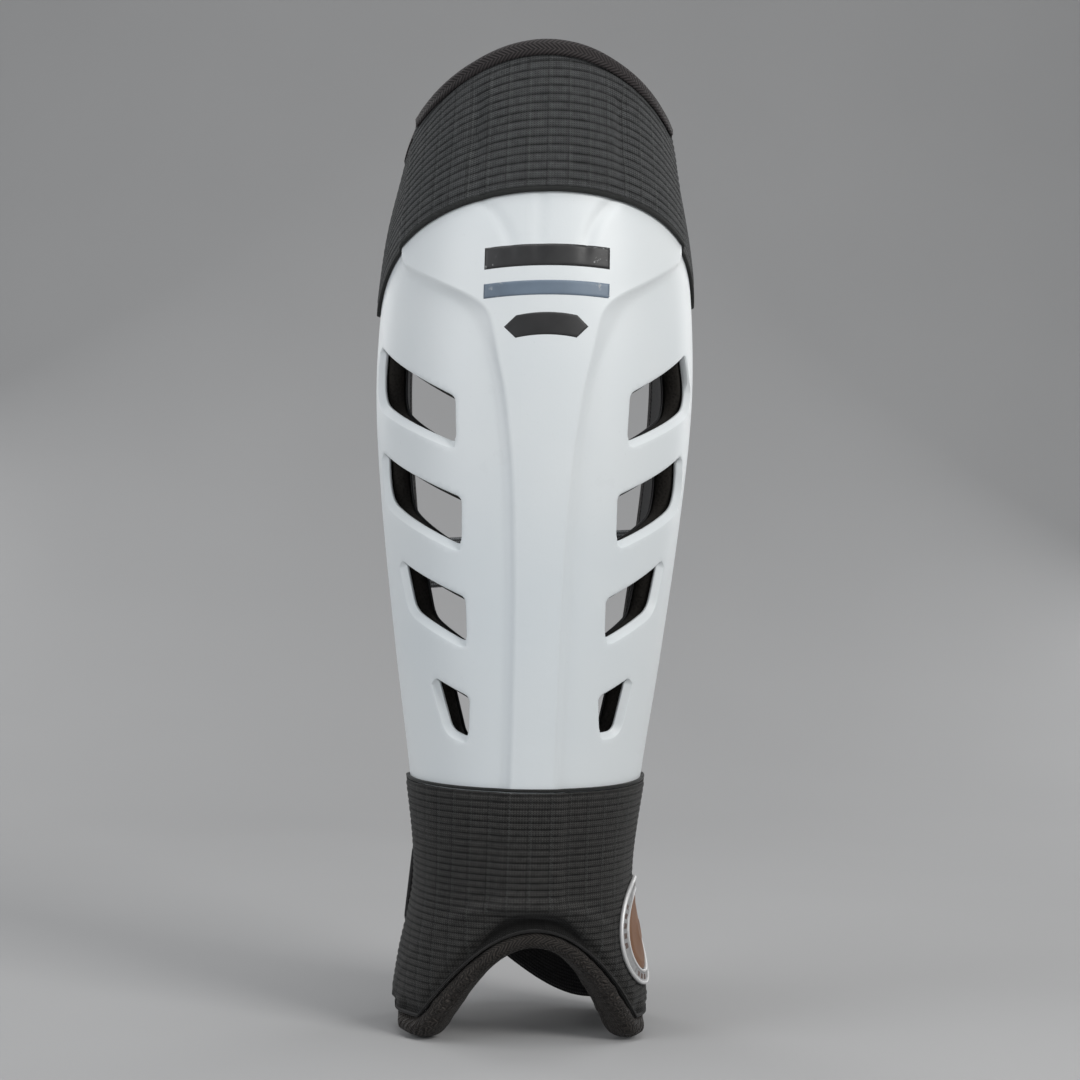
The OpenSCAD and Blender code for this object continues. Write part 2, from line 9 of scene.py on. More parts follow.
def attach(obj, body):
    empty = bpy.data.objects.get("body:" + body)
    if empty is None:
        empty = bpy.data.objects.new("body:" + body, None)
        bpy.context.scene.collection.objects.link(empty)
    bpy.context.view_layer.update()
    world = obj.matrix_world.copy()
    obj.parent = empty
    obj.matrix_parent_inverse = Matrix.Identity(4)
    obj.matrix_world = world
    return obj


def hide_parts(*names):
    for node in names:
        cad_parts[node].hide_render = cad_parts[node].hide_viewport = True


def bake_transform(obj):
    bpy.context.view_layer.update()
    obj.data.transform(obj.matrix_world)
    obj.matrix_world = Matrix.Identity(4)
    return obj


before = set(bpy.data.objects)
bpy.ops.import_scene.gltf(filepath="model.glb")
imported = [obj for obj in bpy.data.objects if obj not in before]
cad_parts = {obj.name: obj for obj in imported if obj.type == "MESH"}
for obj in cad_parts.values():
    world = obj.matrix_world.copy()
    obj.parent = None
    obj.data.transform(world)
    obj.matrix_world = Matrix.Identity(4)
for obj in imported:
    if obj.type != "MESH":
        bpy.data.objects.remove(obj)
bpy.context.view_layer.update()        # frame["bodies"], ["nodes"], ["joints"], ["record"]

MM = 0.001

# ------------------------------------------------------------------ guide skin
# The same guide skin as the CAD: arc length s round the leg and height z, in mm.
H, HALF, SHIFT_Y, CURL = 340.0, 56.9, 1.75, 0.004
WING_DROP, PAST_SIDE, PANEL_UP = 2.6, 1.0, 1.6
SHELL_T, COVER_T = 2.8, 1.2
FOAM_OUT, FOAM_IN, LINING_OUT, LINING_IN = -3.4, -9.2, -9.7, -10.2
COVER_IN, COVER_OUT = 0.4, 1.6
SHELL_TOP_U = 0.87
# rise of the hems, bars and panel towards the outer side
LEAN = 0.04
STATIONS = np.array([
    [0.000, 0.783, 0.703, 0.791, 0.490],
    [0.074, 0.725, 0.668, 0.738, 0.490],
    [0.156, 0.645, 0.633, 0.703, 0.475],
    [0.259, 0.710, 0.694, 0.720, 0.457],
    [0.385, 0.818, 0.782, 0.764, 0.440],
    [0.541, 0.934, 0.888, 0.808, 0.440],
    [0.647, 0.982, 0.931, 0.817, 0.440],
    [0.735, 0.968, 0.923, 0.800, 0.420],
    [0.809, 0.919, 0.896, 0.764, 0.370],
    [0.882, 0.828, 0.852, 0.712, 0.280],
    [0.956, 0.723, 0.800, 0.641, 0.160],
    [1.000, 0.645, 0.764, 0.589, 0.070],
])


def _station_tables():
    q = np.linspace(0, 1, 1361)
    x = STATIONS[:, 0]
    i = np.clip(np.searchsorted(x, q, side="right") - 1, 0, len(x) - 2)
    h = x[i + 1] - x[i]
    t = (q - x[i]) / h
    tables = []
    for c in range(1, 5):
        y = STATIONS[:, c]
        m = np.empty_like(y)
        m[1:-1] = (y[2:] - y[:-2]) / (x[2:] - x[:-2])
        m[0], m[-1] = (y[1] - y[0]) / (x[1] - x[0]), (y[-1] - y[-2]) / (x[-1] - x[-2])
        v = ((2 * t**3 - 3 * t**2 + 1) * y[i] + (t**3 - 2 * t**2 + t) * h * m[i]
             + (3 * t**2 - 2 * t**3) * y[i + 1] + (t**3 - t**2) * h * m[i + 1])
        tables.append(v * HALF)
    return q * H, tables


Z_TABLE, SHARES = _station_tables()


def share(c, z):
    return np.interp(z, Z_TABLE, SHARES[c - 1])


def smooth(t):
    t = np.clip(t, 0, 1)
    return t * t * (3 - 2 * t)


def mix(a, b, t):
    return a + (b - a) * t


def gauss(x, w):
    return np.exp(-(x / w) ** 2)


def side_s(z):
    return np.pi / 4 * (share(1, z) + share(2, z))


def edge_s(z):
    return side_s(z) + share(4, z)


def skin(s, z, off):
    """Points in metres at arc length s, height z and distance off outside the guide skin."""
    s, z, off = np.broadcast_arrays(*(np.asarray(x, float) for x in (s, z, off)))
    w, a, y0 = share(1, z), share(2, z), -share(3, z)
    q = np.pi / 4 * (w + a)
    e = np.maximum(0, np.abs(s) - q)
    p = np.pi / 2 * np.minimum(np.abs(s), q) / q
    x, y = w * np.sin(p) - CURL * e * e, y0 + a * (1 - np.cos(p)) + e
    nx, ny = a * np.sin(p), -w * np.cos(p) + 2 * CURL * e * a
    n = np.hypot(nx, ny)
    out = np.stack([np.where(s < 0, -1, 1) * (x + off * nx / n), y + off * ny / n + SHIFT_Y,
                    np.maximum(z, 0)], -1)
    return out * MM


def top_z(u):
    return H - 46 * np.abs(u) ** 2.1


def bump(u, r, h):
    return h * np.maximum(0, 1 - u * u / (r * r)) ** 1.35


# the instep arch in shares of the half girth: its middle, half width and height,
# then half width and height of the roll's top
ARCH_MID, ARCH_U, ARCH_H, ROLL_U, ROLL_H = 0.03, 0.42, 33.3, 0.54, 39.8
FOOT_U, FOOT_H, SOLE_H = 0.60, 8.5, 3.2


def lift(u):
    """Lower face of the soles: it rises behind the feet and again at the rear edge."""
    a = np.abs(u)
    behind = 8 * smooth((a - 0.52) / 0.10) * (1 - smooth((a - 0.78) / 0.12))
    return behind + 5 * smooth((a - 0.965) / 0.035)


def arch_low(u):
    return np.maximum(bump(u - ARCH_MID, ARCH_U, ARCH_H), lift(u))


def roll_top(u):
    foot = np.where(np.abs(u) < FOOT_U, FOOT_H, 0)
    return np.maximum(np.maximum(foot, SOLE_H + lift(u)), bump(u - ARCH_MID, ROLL_U, ROLL_H))


def seam(u):
    """Where the ankle cover meets the padded roll."""
    return roll_top(u) - 0.075 * (roll_top(u) - np.minimum(arch_low(u), roll_top(u)))


def top_hem(u):
    w = np.minimum(0.78, np.abs(u))
    return 286.5 - 40 * w**2 - 30 * w**4 + LEAN * 105 * np.sign(u) * w


def ankle_hem(u):
    return 86 + 2.8 * u * u + LEAN * 35 * u


def sunk(s, z):
    return WING_DROP * smooth((np.abs(s) - side_s(z) - PAST_SIDE) / 5)


# ------------------------------------------------------------------ outlines in the s, z plane
def chaikin(points, n=2, closed=False):
    p = np.array(points, float)
    for _ in range(n):
        q = np.roll(p, -1, 0) if closed else p[1:]
        b = p if closed else p[:-1]
        new = np.stack([0.75 * b + 0.25 * q, 0.25 * b + 0.75 * q], 1).reshape(-1, p.shape[1])
        p = new if closed else np.vstack([p[:1], new, p[-1:]])
    return p


def run_length(p):
    """Distance along a line of points, from its first one."""
    return np.r_[0, np.cumsum(np.linalg.norm(np.diff(p, axis=0), axis=1))]


def resample(points, step, closed=False):
    p = np.array(points, float)
    if closed:
        p = np.vstack([p, p[:1]])
    d = run_length(p)
    n = max(3, int(round(d[-1] / step)))
    t = np.linspace(0, d[-1], n + 1)
    out = np.stack([np.interp(t, d, p[:, k]) for k in range(p.shape[1])], -1)
    return out[:-1] if closed else out


def distance(points, line, closed=False):
    """Distance from each point to a polyline, all in one plane."""
    a = np.array(line, float)
    b = np.roll(a, -1, 0) if closed else a[1:]
    a = a if closed else a[:-1]
    best = np.full(len(points), 1e9)
    for p, q in zip(a, b):
        d = q - p
        t = np.clip(((points - p) @ d) / max(d @ d, 1e-12), 0, 1)
        best = np.minimum(best, np.hypot(*(points - p - t[:, None] * d).T))
    return best


def inside(points, poly):
    x, y = points[:, 0], points[:, 1]
    a, b = poly, np.roll(poly, -1, 0)
    odd = np.zeros(len(points), bool)
    for (x0, y0), (x1, y1) in zip(a, b):
        if y0 != y1:
            odd ^= ((y0 > y) != (y1 > y)) & (x < (x1 - x0) * (y - y0) / (y1 - y0) + x0)
    return odd


def normals_2d(loop):
    """Unit normals of a closed counter-clockwise loop, pointing away from what it encloses."""
    t = np.roll(loop, -1, 0) - np.roll(loop, 1, 0)
    n = np.stack([t[:, 1], -t[:, 0]], -1)
    return n / np.linalg.norm(n, axis=1)[:, None]


def rounded(corners, radii, step):
    """Closed loop through rounded corners."""
    c, out = np.array(corners, float), []
    for k in range(len(c)):
        p, m, q = c[k - 1], c[k], c[(k + 1) % len(c)]
        d, e = (p - m) / np.linalg.norm(p - m), (q - m) / np.linalg.norm(q - m)
        for t in np.linspace(0, 1, 9):
            out.append(m + d * radii[k] * (1 - t) ** 2 + e * radii[k] * t**2)
    return resample(out, step, closed=True)


# corners of the windows: outer top, inner top, inner bottom, outer bottom
WINDOWS_OUTER = [
    [[62, 236], [30.5, 220.5], [29.8, 204], [72, 219.5]],
    [[62, 201], [26.8, 186], [27, 170], [65.5, 185]],
    [[52, 164.5], [23.8, 151], [24, 137.4], [47, 148]],
    [[36, 124.4], [22.4, 118], [23.6, 105.5], [31, 106.5]],
]
WINDOWS_INNER = [
    [[73, 236], [30.3, 217.6], [29.5, 202], [76.5, 218]],
    [[69.8, 199.3], [27, 183.8], [26.6, 167.6], [69.5, 183.8]],
    [[55.4, 162], [24.7, 150.4], [23.8, 135.2], [49, 145.7]],
    [[36.6, 122.8], [22.3, 117], [22.5, 103.2], [30, 105.7]],
]
WINDOW_RADII = [[2, 2, 3.2, 10], [2, 2, 3.2, 9], [1.5, 2, 3, 4], [1.5, 2, 2.6, 3]]


def window_loops(step, drop=0.0, grow=0.0):
    loops = []
    for side in (1, -1):
        for c, r in zip(WINDOWS_OUTER if side > 0 else WINDOWS_INNER, WINDOW_RADII):
            loop = rounded(c, r, step)
            if grow:
                loop = loop + grow * normals_2d(loop)
            loop = loop - [0, drop]
            loops.append(loop if side > 0 else (loop * [-1, 1])[::-1])
    return loops


def leaned(line, side=1):
    p = np.array(line, float) * [side, 1]
    return p + np.stack([0 * p[:, 0], LEAN * p[:, 0]], -1)


PANEL_HALF = [(7.0, 40), (7.0, 110), (7.3, 150), (8.9, 189), (10.5, 205), (12.6, 221), (15, 231),
              (16.6, 240), (18.0, 245.5), (20.4, 249), (24.5, 251.9), (31, 255), (42, 259.9),
              (51, 263.8), (55, 265.9), (56.6, 269), (57, 276), (57, 345)]
_half = chaikin(PANEL_HALF, 3)
RIDGES = [leaned(_half, side) for side in (1, -1)]
PANEL = np.vstack([RIDGES[0], RIDGES[1][::-1]])
_flute = [(24.5, 318), (24.3, 290), (22.4, 284.5), (17.4, 280), (13.9, 274), (12.2, 268),
          (11.7, 262)]
FLUTES = [chaikin(leaned(_flute, side), 3) for side in (1, -1)]
FLUTES.append(chaikin([(-2.6, 318), (-2.8, 284), (-3.0, 270), (-3.2, 262)], 3))


def relief(s, z):
    """Height of the raised chest and spine panel with its ridge and its three flutes."""
    p = np.stack([np.ravel(s), np.ravel(z)], -1)
    d = distance(p, PANEL, closed=True) * np.where(inside(p, PANEL), -1, 1)
    soft = 3.3 + 4.2 * gauss(np.hypot(np.abs(p[:, 0]) - 20, p[:, 1] - 245), 9.0)
    t = np.clip(d / soft, 0, 1)
    fall = 1 - (1 - t) ** 1.7
    r = PANEL_UP * (1 - fall) + 0.13 * gauss(d + 0.35, 0.5)
    for k, f in enumerate(FLUTES):
        fade = smooth((p[:, 1] - 259) / 14)
        r = r - (0.62 if k < 2 else 0.5) * gauss(distance(p, f), 2.0) * fade
    return r.reshape(np.shape(s))


# ------------------------------------------------------------------ mesh building
def put_st(me, st):
    """Stores coordinates in mm for the materials, as the attribute st in metres."""
    a = me.attributes.new("st", "FLOAT_VECTOR", "POINT")
    a.data.foreach_set("vector", (np.asarray(st, float) * MM).astype(np.float32).ravel())


def smooth_shade(me):
    me.polygons.foreach_set("use_smooth", [True] * len(me.polygons))


def new_object(name, verts, faces, st=None, body="guard", stands_for=(), slot=None):
    me = bpy.data.meshes.new(name)
    me.from_pydata([tuple(v) for v in np.asarray(verts, float)], [], [tuple(f) for f in faces])
    if st is not None:
        put_st(me, st)
    me.validate()
    me.update()
    ob = bpy.data.objects.new(name, me)
    bpy.context.collection.objects.link(ob)
    smooth_shade(me)
    outward(me)
    if body:
        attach(ob, body)
    if stands_for:
        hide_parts(*stands_for)
    return ob


def outward(me):
    """Turns all faces outward."""
    import bmesh
    bm = bmesh.new()
    bm.from_mesh(me)
    bmesh.ops.recalc_face_normals(bm, faces=bm.faces)
    if bm.calc_volume(signed=True) < 0:
        bmesh.ops.reverse_faces(bm, faces=bm.faces)
    bm.to_mesh(me)
    bm.free()


def grid_faces(n, m, base=0, wrap_i=False, wrap_j=False):
    i = np.arange(n if wrap_i else n - 1)
    j = np.arange(m if wrap_j else m - 1)
    i, j = np.meshgrid(i, j, indexing="ij")
    a, b = i * m + j, i * m + (j + 1) % m
    c, d = ((i + 1) % n) * m + (j + 1) % m, ((i + 1) % n) * m + j
    return (np.stack([a, b, c, d], -1).reshape(-1, 4) + base).tolist()


def slab_faces(n, m, base=0):
    """Faces of a closed solid between two grids of n by m points that follow each other."""
    k = n * m
    f = grid_faces(n, m, base) + [q[::-1] for q in grid_faces(n, m, base + k)]
    rim = list(range(m - 1)) + [i * m + m - 1 for i in range(n - 1)]
    rim += [(n - 1) * m + j for j in range(m - 1, 0, -1)] + [i * m for i in range(n - 1, 0, -1)]
    rim = [r + base for r in rim]
    return f + [[a, b, b + k, a + k] for a, b in zip([rim[-1]] + rim[:-1], rim)]


def slab(outer, inner, st=None, **kw):
    """Closed solid between two grids of points, with square rims."""
    n, m = outer.shape[:2]
    v = np.vstack([outer.reshape(-1, 3), inner.reshape(-1, 3)])
    st = None if st is None else np.vstack([st.reshape(-1, 3)] * 2)
    return new_object(kw.pop("name"), v, slab_faces(n, m), st, **kw)


def tube(rings, st=None, **kw):
    """Closed solid through rings of points: rings[i, k] with k going round."""
    n, m = rings.shape[:2]
    v = np.vstack([rings.reshape(-1, 3), rings[0].mean(0), rings[-1].mean(0)])
    f = grid_faces(n, m, wrap_j=True)
    f += [[(k + 1) % m, k, n * m] for k in range(m)]
    f += [[(n - 1) * m + k, (n - 1) * m + (k + 1) % m, n * m + 1] for k in range(m)]
    if st is not None:
        st = np.vstack([st.reshape(-1, 3), st[0].mean(0), st[-1].mean(0)])
    return new_object(kw.pop("name"), v, f, st, **kw)


def cut_sheet(outer_loop, holes, step, extra=()):
    """Triangles of a flat region with holes: points, faces, ids of the outer loop and of each hole.
    Rows of points follow the lines in extra."""
    lo, hi = outer_loop.min(0), outer_loop.max(0)
    xs = np.arange(lo[0] + step / 2, hi[0], step)
    ys = np.arange(lo[1] + step / 2, hi[1], step)
    gx, gy = np.meshgrid(xs, ys)
    gx = gx + (np.arange(len(ys)) % 2)[:, None] * step / 2
    g = np.stack([gx.ravel(), gy.ravel()], -1)
    g = g[inside(g, outer_loop)]

    def clear(p):
        """Points that keep off the rims and out of the holes."""
        ok = distance(p, outer_loop, closed=True) > 0.6 * step
        for h in holes:
            ok &= ~inside(p, h) & (distance(p, h, closed=True) > 0.6 * step)
        return ok

    keep = clear(g)
    pts = [outer_loop, *holes]
    for line in extra:
        keep &= distance(g, line) > 0.62 * step
        e = resample(line, step * 0.8)
        pts.append(e[inside(e, outer_loop) & clear(e)])
    pts.append(g[keep])
    loops, start = [], 0
    for p in pts[:1 + len(holes)]:
        loops.append(list(range(start, start + len(p))))
        start += len(p)
    allp = np.vstack(pts)
    edges = [(ids[k], ids[(k + 1) % len(ids)]) for ids in loops for k in range(len(ids))]
    out = delaunay_2d_cdt([Vector(p) for p in allp], edges, [], 0, 1e-5)
    tri, orig = out[2], out[3]
    back = np.array([o[0] if len(o) else -1 for o in orig])
    tri = back[np.array([t for t in tri if len(t) == 3])]
    tri = tri[(tri >= 0).all(1)]
    mid = allp[tri].mean(1)
    ok = inside(mid, outer_loop)
    for h in holes:
        ok &= ~inside(mid, h)
    return allp, tri[ok], loops[0], loops[1:]


def thick_sheet(name, region, top_off, low_off, rims, **kw):
    """Solid from a cut sheet. rims(loop number, points, outward normals) gives rows of
    (points, offsets) that close the wall between the two faces, and the rim of the inner face."""
    pts, tri, outer, holes = region
    n = len(pts)
    low_pts = pts.copy()
    faces, walls, wall_pts = [list(t) for t in tri], [], []
    base = 2 * n
    for k, ids in enumerate([outer, *holes]):
        loop = pts[ids]
        rows, low_pts[ids] = rims(k, loop, normals_2d(loop) * (1 if k == 0 else -1))
        ring_ids = [ids]
        for p, off in rows:
            walls.append(skin(p[:, 0], p[:, 1], off))
            wall_pts.append(p)
            ring_ids.append(list(range(base, base + len(p))))
            base += len(p)
        ring_ids.append([i + n for i in ids])
        for a, b in zip(ring_ids[:-1], ring_ids[1:]):
            for i in range(len(ids)):
                j = (i + 1) % len(ids)
                faces.append([a[i], a[j], b[j], b[i]])
    faces += [[t[0] + n, t[2] + n, t[1] + n] for t in tri]
    top = skin(pts[:, 0], pts[:, 1], top_off(pts))
    low = skin(low_pts[:, 0], low_pts[:, 1], low_off(low_pts))
    flat = np.vstack([pts, low_pts, *wall_pts])
    st = np.column_stack([flat, np.zeros(len(flat))])
    return new_object(name, np.vstack([top, low, *walls]), faces, st, **kw)


def flat_at(off):
    return lambda p: np.full(len(p), off)


def apply_modifiers(ob):
    dg = bpy.context.evaluated_depsgraph_get()
    dg.update()
    me = bpy.data.meshes.new_from_object(ob.evaluated_get(dg), preserve_all_data_layers=True,
                                         depsgraph=dg)
    ob.modifiers.clear()
    old = ob.data
    ob.data = me
    bpy.data.meshes.remove(old)


def stitches(name, path, normals, length, gap, radius, sink):
    """A row of short raised threads along a path given in metres; sizes in mm."""
    rows, sides = 5, 6
    length, gap, radius, sink = length * MM, gap * MM, radius * MM, sink * MM
    d = run_length(path)
    v, f = [], []

    def at(line, x):
        return np.array([np.interp(x, d, line[:, k]) for k in range(3)])

    for a in np.arange(gap, d[-1] - length, length + gap):
        base = len(v)
        for r in range(rows):
            t = r / (rows - 1)
            q, ahead = at(path, a + t * length), at(path, a + t * length + 1e-5)
            n = at(normals, a + t * length)
            n /= np.linalg.norm(n)
            b = np.cross((ahead - q) / max(np.linalg.norm(ahead - q), 1e-12), n)
            rad = radius * (0.35 + 0.65 * math.sin(math.pi * min(max(t, 0.06), 0.94)) ** 0.5)
            h = (math.sin(math.pi * t) * 0.5 - 0.35) * radius - sink
            for k in range(sides):
                c = 2 * math.pi * k / sides
                v.append(q + n * (h + rad * math.sin(c)) + b * rad * math.cos(c))
        f += grid_faces(rows, sides, base, wrap_j=True)
        f.append([base + k for k in range(sides)][::-1])
        f.append([base + (rows - 1) * sides + k for k in range(sides)])
    return paint(new_object(name, np.array(v), f, body=None), M_THREAD)


# ------------------------------------------------------------------ materials
class Mat:
    """Small helper to wire a Principled material."""

    def __init__(self, name, color, rough, **sockets):
        self.m = bpy.data.materials.new(name)
        self.m.use_nodes = True
        self.t = self.m.node_tree
        self.b = self.t.nodes["Principled BSDF"]
        self.b.inputs["Base Color"].default_value = (*color, 1)
        self.b.inputs["Roughness"].default_value = rough
        for k, v in sockets.items():
            self.b.inputs[k.replace("_", " ")].default_value = v
        self.pos = self.node("ShaderNodeTexCoord").outputs["Object"]

    def node(self, kind, **props):
        n = self.t.nodes.new(kind)
        for k, v in props.items():
            setattr(n, k, v)
        return n

    def link(self, a, b):
        self.t.links.new(a, b)

    def math(self, op, a, b=None, c=None, clamp=False):
        n = self.node("ShaderNodeMath", operation=op, use_clamp=clamp)
        for k, x in enumerate((a, b, c)):
            if x is None:
                continue
            if isinstance(x, (int, float)):
                n.inputs[k].default_value = x
            else:
                self.link(x, n.inputs[k])
        return n.outputs[0]

    def st(self):
        """The three numbers of the attribute st, in mm."""
        a = self.node("ShaderNodeAttribute", attribute_name="st")
        x = self.node("ShaderNodeSeparateXYZ")
        self.link(a.outputs["Vector"], x.inputs[0])
        return [self.math("MULTIPLY", x.outputs[k], 1000.0) for k in range(3)]

    def noise(self, scale, detail=4.0, rough=0.55):
        n = self.node("ShaderNodeTexNoise")
        n.inputs["Scale"].default_value = scale
        n.inputs["Detail"].default_value = detail
        n.inputs["Roughness"].default_value = rough
        self.link(self.pos, n.inputs["Vector"])
        return n.outputs["Fac"]

    def cells(self, scale):
        """Distance to the nearest of scattered points."""
        v = self.node("ShaderNodeTexVoronoi")
        v.inputs["Scale"].default_value = scale
        self.link(self.pos, v.inputs["Vector"])
        return v.outputs["Distance"]

    def wave(self, x, period, phase=0.0):
        """0..1 cosine with that period in the units of x."""
        y = self.math("MULTIPLY_ADD", x, 2 * math.pi / period, phase)
        return self.math("MULTIPLY_ADD", self.math("COSINE", y), 0.5, 0.5)

    def ramp(self, fac, stops):
        r = self.node("ShaderNodeValToRGB")
        e = r.color_ramp.elements
        while len(e) < len(stops):
            e.new(0.5)
        for k, (p, c) in enumerate(stops):
            e[k].position = p
            e[k].color = (*c, 1)
        self.link(fac, r.inputs[0])
        return r.outputs[0]

    def blend(self, fac, a, b, kind="MIX"):
        n = self.node("ShaderNodeMix", data_type="RGBA", blend_type=kind)
        if isinstance(fac, (int, float)):
            n.inputs["Factor"].default_value = fac
        else:
            self.link(fac, n.inputs["Factor"])
        for s, x in (("A", a), ("B", b)):
            sock = [i for i in n.inputs if i.name == s and i.type == "RGBA"][0]
            if isinstance(x, tuple):
                sock.default_value = (*x, 1)
            else:
                self.link(x, sock)
        return [o for o in n.outputs if o.type == "RGBA"][0]

    def color(self, sock):
        self.link(sock, self.b.inputs["Base Color"])

    def rough(self, fac, lo, hi):
        r = self.node("ShaderNodeMapRange")
        r.inputs["To Min"].default_value = lo
        r.inputs["To Max"].default_value = hi
        self.link(fac, r.inputs[0])
        self.link(r.outputs[0], self.b.inputs["Roughness"])

    def bump(self, *layers):
        """layers are (height, distance in mm, strength)."""
        prev = None
        for h, dist, strength in layers:
            n = self.node("ShaderNodeBump")
            n.inputs["Distance"].default_value = dist * MM
            n.inputs["Strength"].default_value = strength
            self.link(h, n.inputs["Height"])
            if prev is not None:
                self.link(prev, n.inputs["Normal"])
            prev = n.outputs[0]
        self.link(prev, self.b.inputs["Normal"])
def math_node(kind):
    return lambda mat, *args, **kw: mat.math(kind, *args, **kw)


# short names for the math nodes: m.mul(a, b) and so on
MATH_NODES = {"add": "ADD", "sub": "SUBTRACT", "mul": "MULTIPLY", "mad": "MULTIPLY_ADD",
              "abs": "ABSOLUTE", "pow": "POWER", "above": "GREATER_THAN", "below": "LESS_THAN"}
for short, kind in MATH_NODES.items():
    setattr(Mat, short, math_node(kind))


def tone(color, k, more=0.0):
    return tuple(c * k + more for c in color)

def shell_material():
    m = Mat("shell_plastic", (0.70, 0.735, 0.75), 0.34, Specular_IOR_Level=0.5, Coat_Weight=0.05,
            Coat_Roughness=0.3)
    s = m.st()[0]
    broad = m.noise(9, 3)
    specks = m.noise(900, 2)
    scuff = m.noise(60, 6, 0.7)
    col = m.ramp(broad, [(0.3, (0.655, 0.700, 0.725)), (0.7, (0.735, 0.762, 0.770))])
    worn = m.mul(m.above(scuff, 0.66), 0.06)
    col = m.blend(worn, col, (0.50, 0.52, 0.53))
    dots = m.below(specks, 0.27)
    col = m.blend(m.mul(dots, 0.10), col, (0.40, 0.42, 0.44))
    m.color(col)
    m.rough(scuff, 0.38, 0.52)
    # light moulded grain, stronger along the spine
    spine = m.below(m.abs(s), 7.5)
    grain = m.mul(m.noise(420, 3, 0.6), m.mad(spine, 0.8, 0.35))
    m.bump((grain, 0.10, 0.35), (broad, 0.6, 0.12))
    return m.m


def print_material(name, color):
    m = Mat(name, color, 0.32, Specular_IOR_Level=0.45)
    chips = m.noise(420, 5, 0.75)
    broad = m.noise(60, 3)
    s = m.st()[0]
    ends = m.above(m.abs(s), 14.0)
    near = m.ramp(broad, [(0.35, tone(color, 0.85)), (0.7, tone(color, 1.2, 0.01))])
    gone = m.mul(m.above(chips, 0.60), m.mul(ends, 0.55))
    m.color(m.blend(gone, near, (0.45, 0.46, 0.46)))
    m.rough(chips, 0.38, 0.58)
    m.bump((chips, 0.05, 0.3))
    return m.m


KNIT_ROW = 0.86          # mm from one row of knit stitches to the next


def knit_material(name, pitch, shade=1.0, warm=0.0):
    """Ribbed knit with painted shade in its grooves: st is (mm along the ribs, 1 for ribbed or 0 for
    the smooth strip that is painted dark as valley shade, mm across the ribs).
    """
    m = Mat(name, (0.05, 0.05, 0.052), 0.88, Specular_IOR_Level=0.18, Sheen_Weight=0.10,
            Sheen_Roughness=0.45)
    s, ribs, w = m.st()
    rib = m.wave(w, pitch)
    uneven = m.mad(m.noise(130, 4, 0.7), 3.0, -0.85, clamp=True)
    depth = m.mul(ribs, m.mad(uneven, 0.45, 0.45))
    # painted shade: the grooves between the ribs are painted darker as well as bumped
    groove = m.mul(m.pow(m.sub(1.0, rib), 4.0), depth)
    flat = m.sub(1.0, groove)
    yarn = m.wave(s, KNIT_ROW)
    # knit stitches: small chevrons in each wale
    v_shape = m.abs(m.sub(m.math("FRACT", m.mul(s, 1 / KNIT_ROW)), 0.5))
    loops = m.wave(m.add(m.mul(w, 1.0), m.mul(v_shape, 0.9)), 0.72)
    # paler columns across the ribs, each with a dark line beside it
    zig = m.mad(m.wave(w, 1.45), 0.5, s)
    column = m.pow(m.wave(zig, 6.6), 26.0)
    beside = m.pow(m.wave(zig, 6.6, 0.72), 30.0)
    fuzz = m.noise(1400, 3, 0.7)
    broad = m.noise(45, 4)
    pile = m.noise(480, 3, 0.65)
    lit = m.mad(loops, 0.42, m.mad(yarn, 0.26, m.mul(fuzz, 0.40)))
    lit = m.mul(lit, m.mad(pile, 1.3, 0.35))
    lo, hi = 0.012 * shade, 0.20 * shade
    col = m.ramp(m.mul(m.mad(flat, 0.9, 0.1), lit), [
        (0.08, (lo * (1 + warm), lo, lo * (1.02 - warm * 0.5))),
        (0.80, (hi * (0.97 + warm), hi * 1.0, hi * (1.02 - warm)))])
    bright = m.mul(m.mul(column, uneven), m.mad(loops, 0.55, 0.05))
    col = m.blend(bright, col, tone((0.28, 0.295, 0.29), shade))
    col = m.blend(m.mul(beside, 0.35), col, (lo, lo, lo))
    col = m.blend(m.mul(broad, 0.30), col, tone((0.040, 0.045, 0.046), shade))
    # painted shade: the smooth strip above the roll is painted darker, standing in for the shade in its
    # valley
    valley_painted_shade = m.mul(m.sub(1.0, ribs), 0.8)
    m.color(m.blend(valley_painted_shade, col, (lo * 0.6, lo * 0.6, lo * 0.6)))
    m.bump((flat, 0.26, 0.5), (loops, 0.16, 0.7), (yarn, 0.12, 0.6), (pile, 0.10, 0.5),
           (fuzz, 0.06, 0.5))
    return m.m


def herringbone_material(name, color=(0.0125, 0.0100, 0.0102), pitch=1.5, stripe=4.0,
                         gathers=False):
    """Twill tape: st is (mm along the tape, mm across it)."""
    m = Mat(name, color, 0.66, Specular_IOR_Level=0.25, Sheen_Weight=0.06, Sheen_Roughness=0.4)
    a, b = m.st()[:2]
    zig = m.math("PINGPONG", b, stripe / 2)
    twill = m.wave(m.add(a, m.mul(zig, 1.15)), pitch)
    thread = m.wave(m.sub(b, m.mul(a, 0.35)), 0.42)
    fuzz = m.noise(1500, 3, 0.7)
    broad = m.noise(70, 3)
    f = m.mad(twill, 0.66, m.mad(thread, 0.12, m.mul(fuzz, 0.28)))
    dark = tone(color, 0.28)
    lite = tone(color, 3.6, 0.003)
    col = m.ramp(f, [(0.15, dark), (0.55, color), (0.95, lite)])
    col = m.blend(m.mul(broad, 0.35), col, tone(color, 0.8))
    m.color(col)
    m.rough(fuzz, 0.52, 0.82)
    layers = [(twill, 0.22, 0.8), (thread, 0.06, 0.5), (fuzz, 0.05, 0.4)]
    if gathers:
        # puckers that run out from the seam under the piping
        wobble = m.mul(m.noise(160, 2), 3.0)
        pleat = m.wave(m.add(m.mad(b, 0.8, a), wobble), 2.3)
        near = m.pow(2.718, m.mul(m.pow(m.sub(b, 7.0), 2.0), -0.10))
        layers.insert(0, (m.mul(pleat, near), 0.9, 0.8))
    m.bump(*layers)
    return m.m


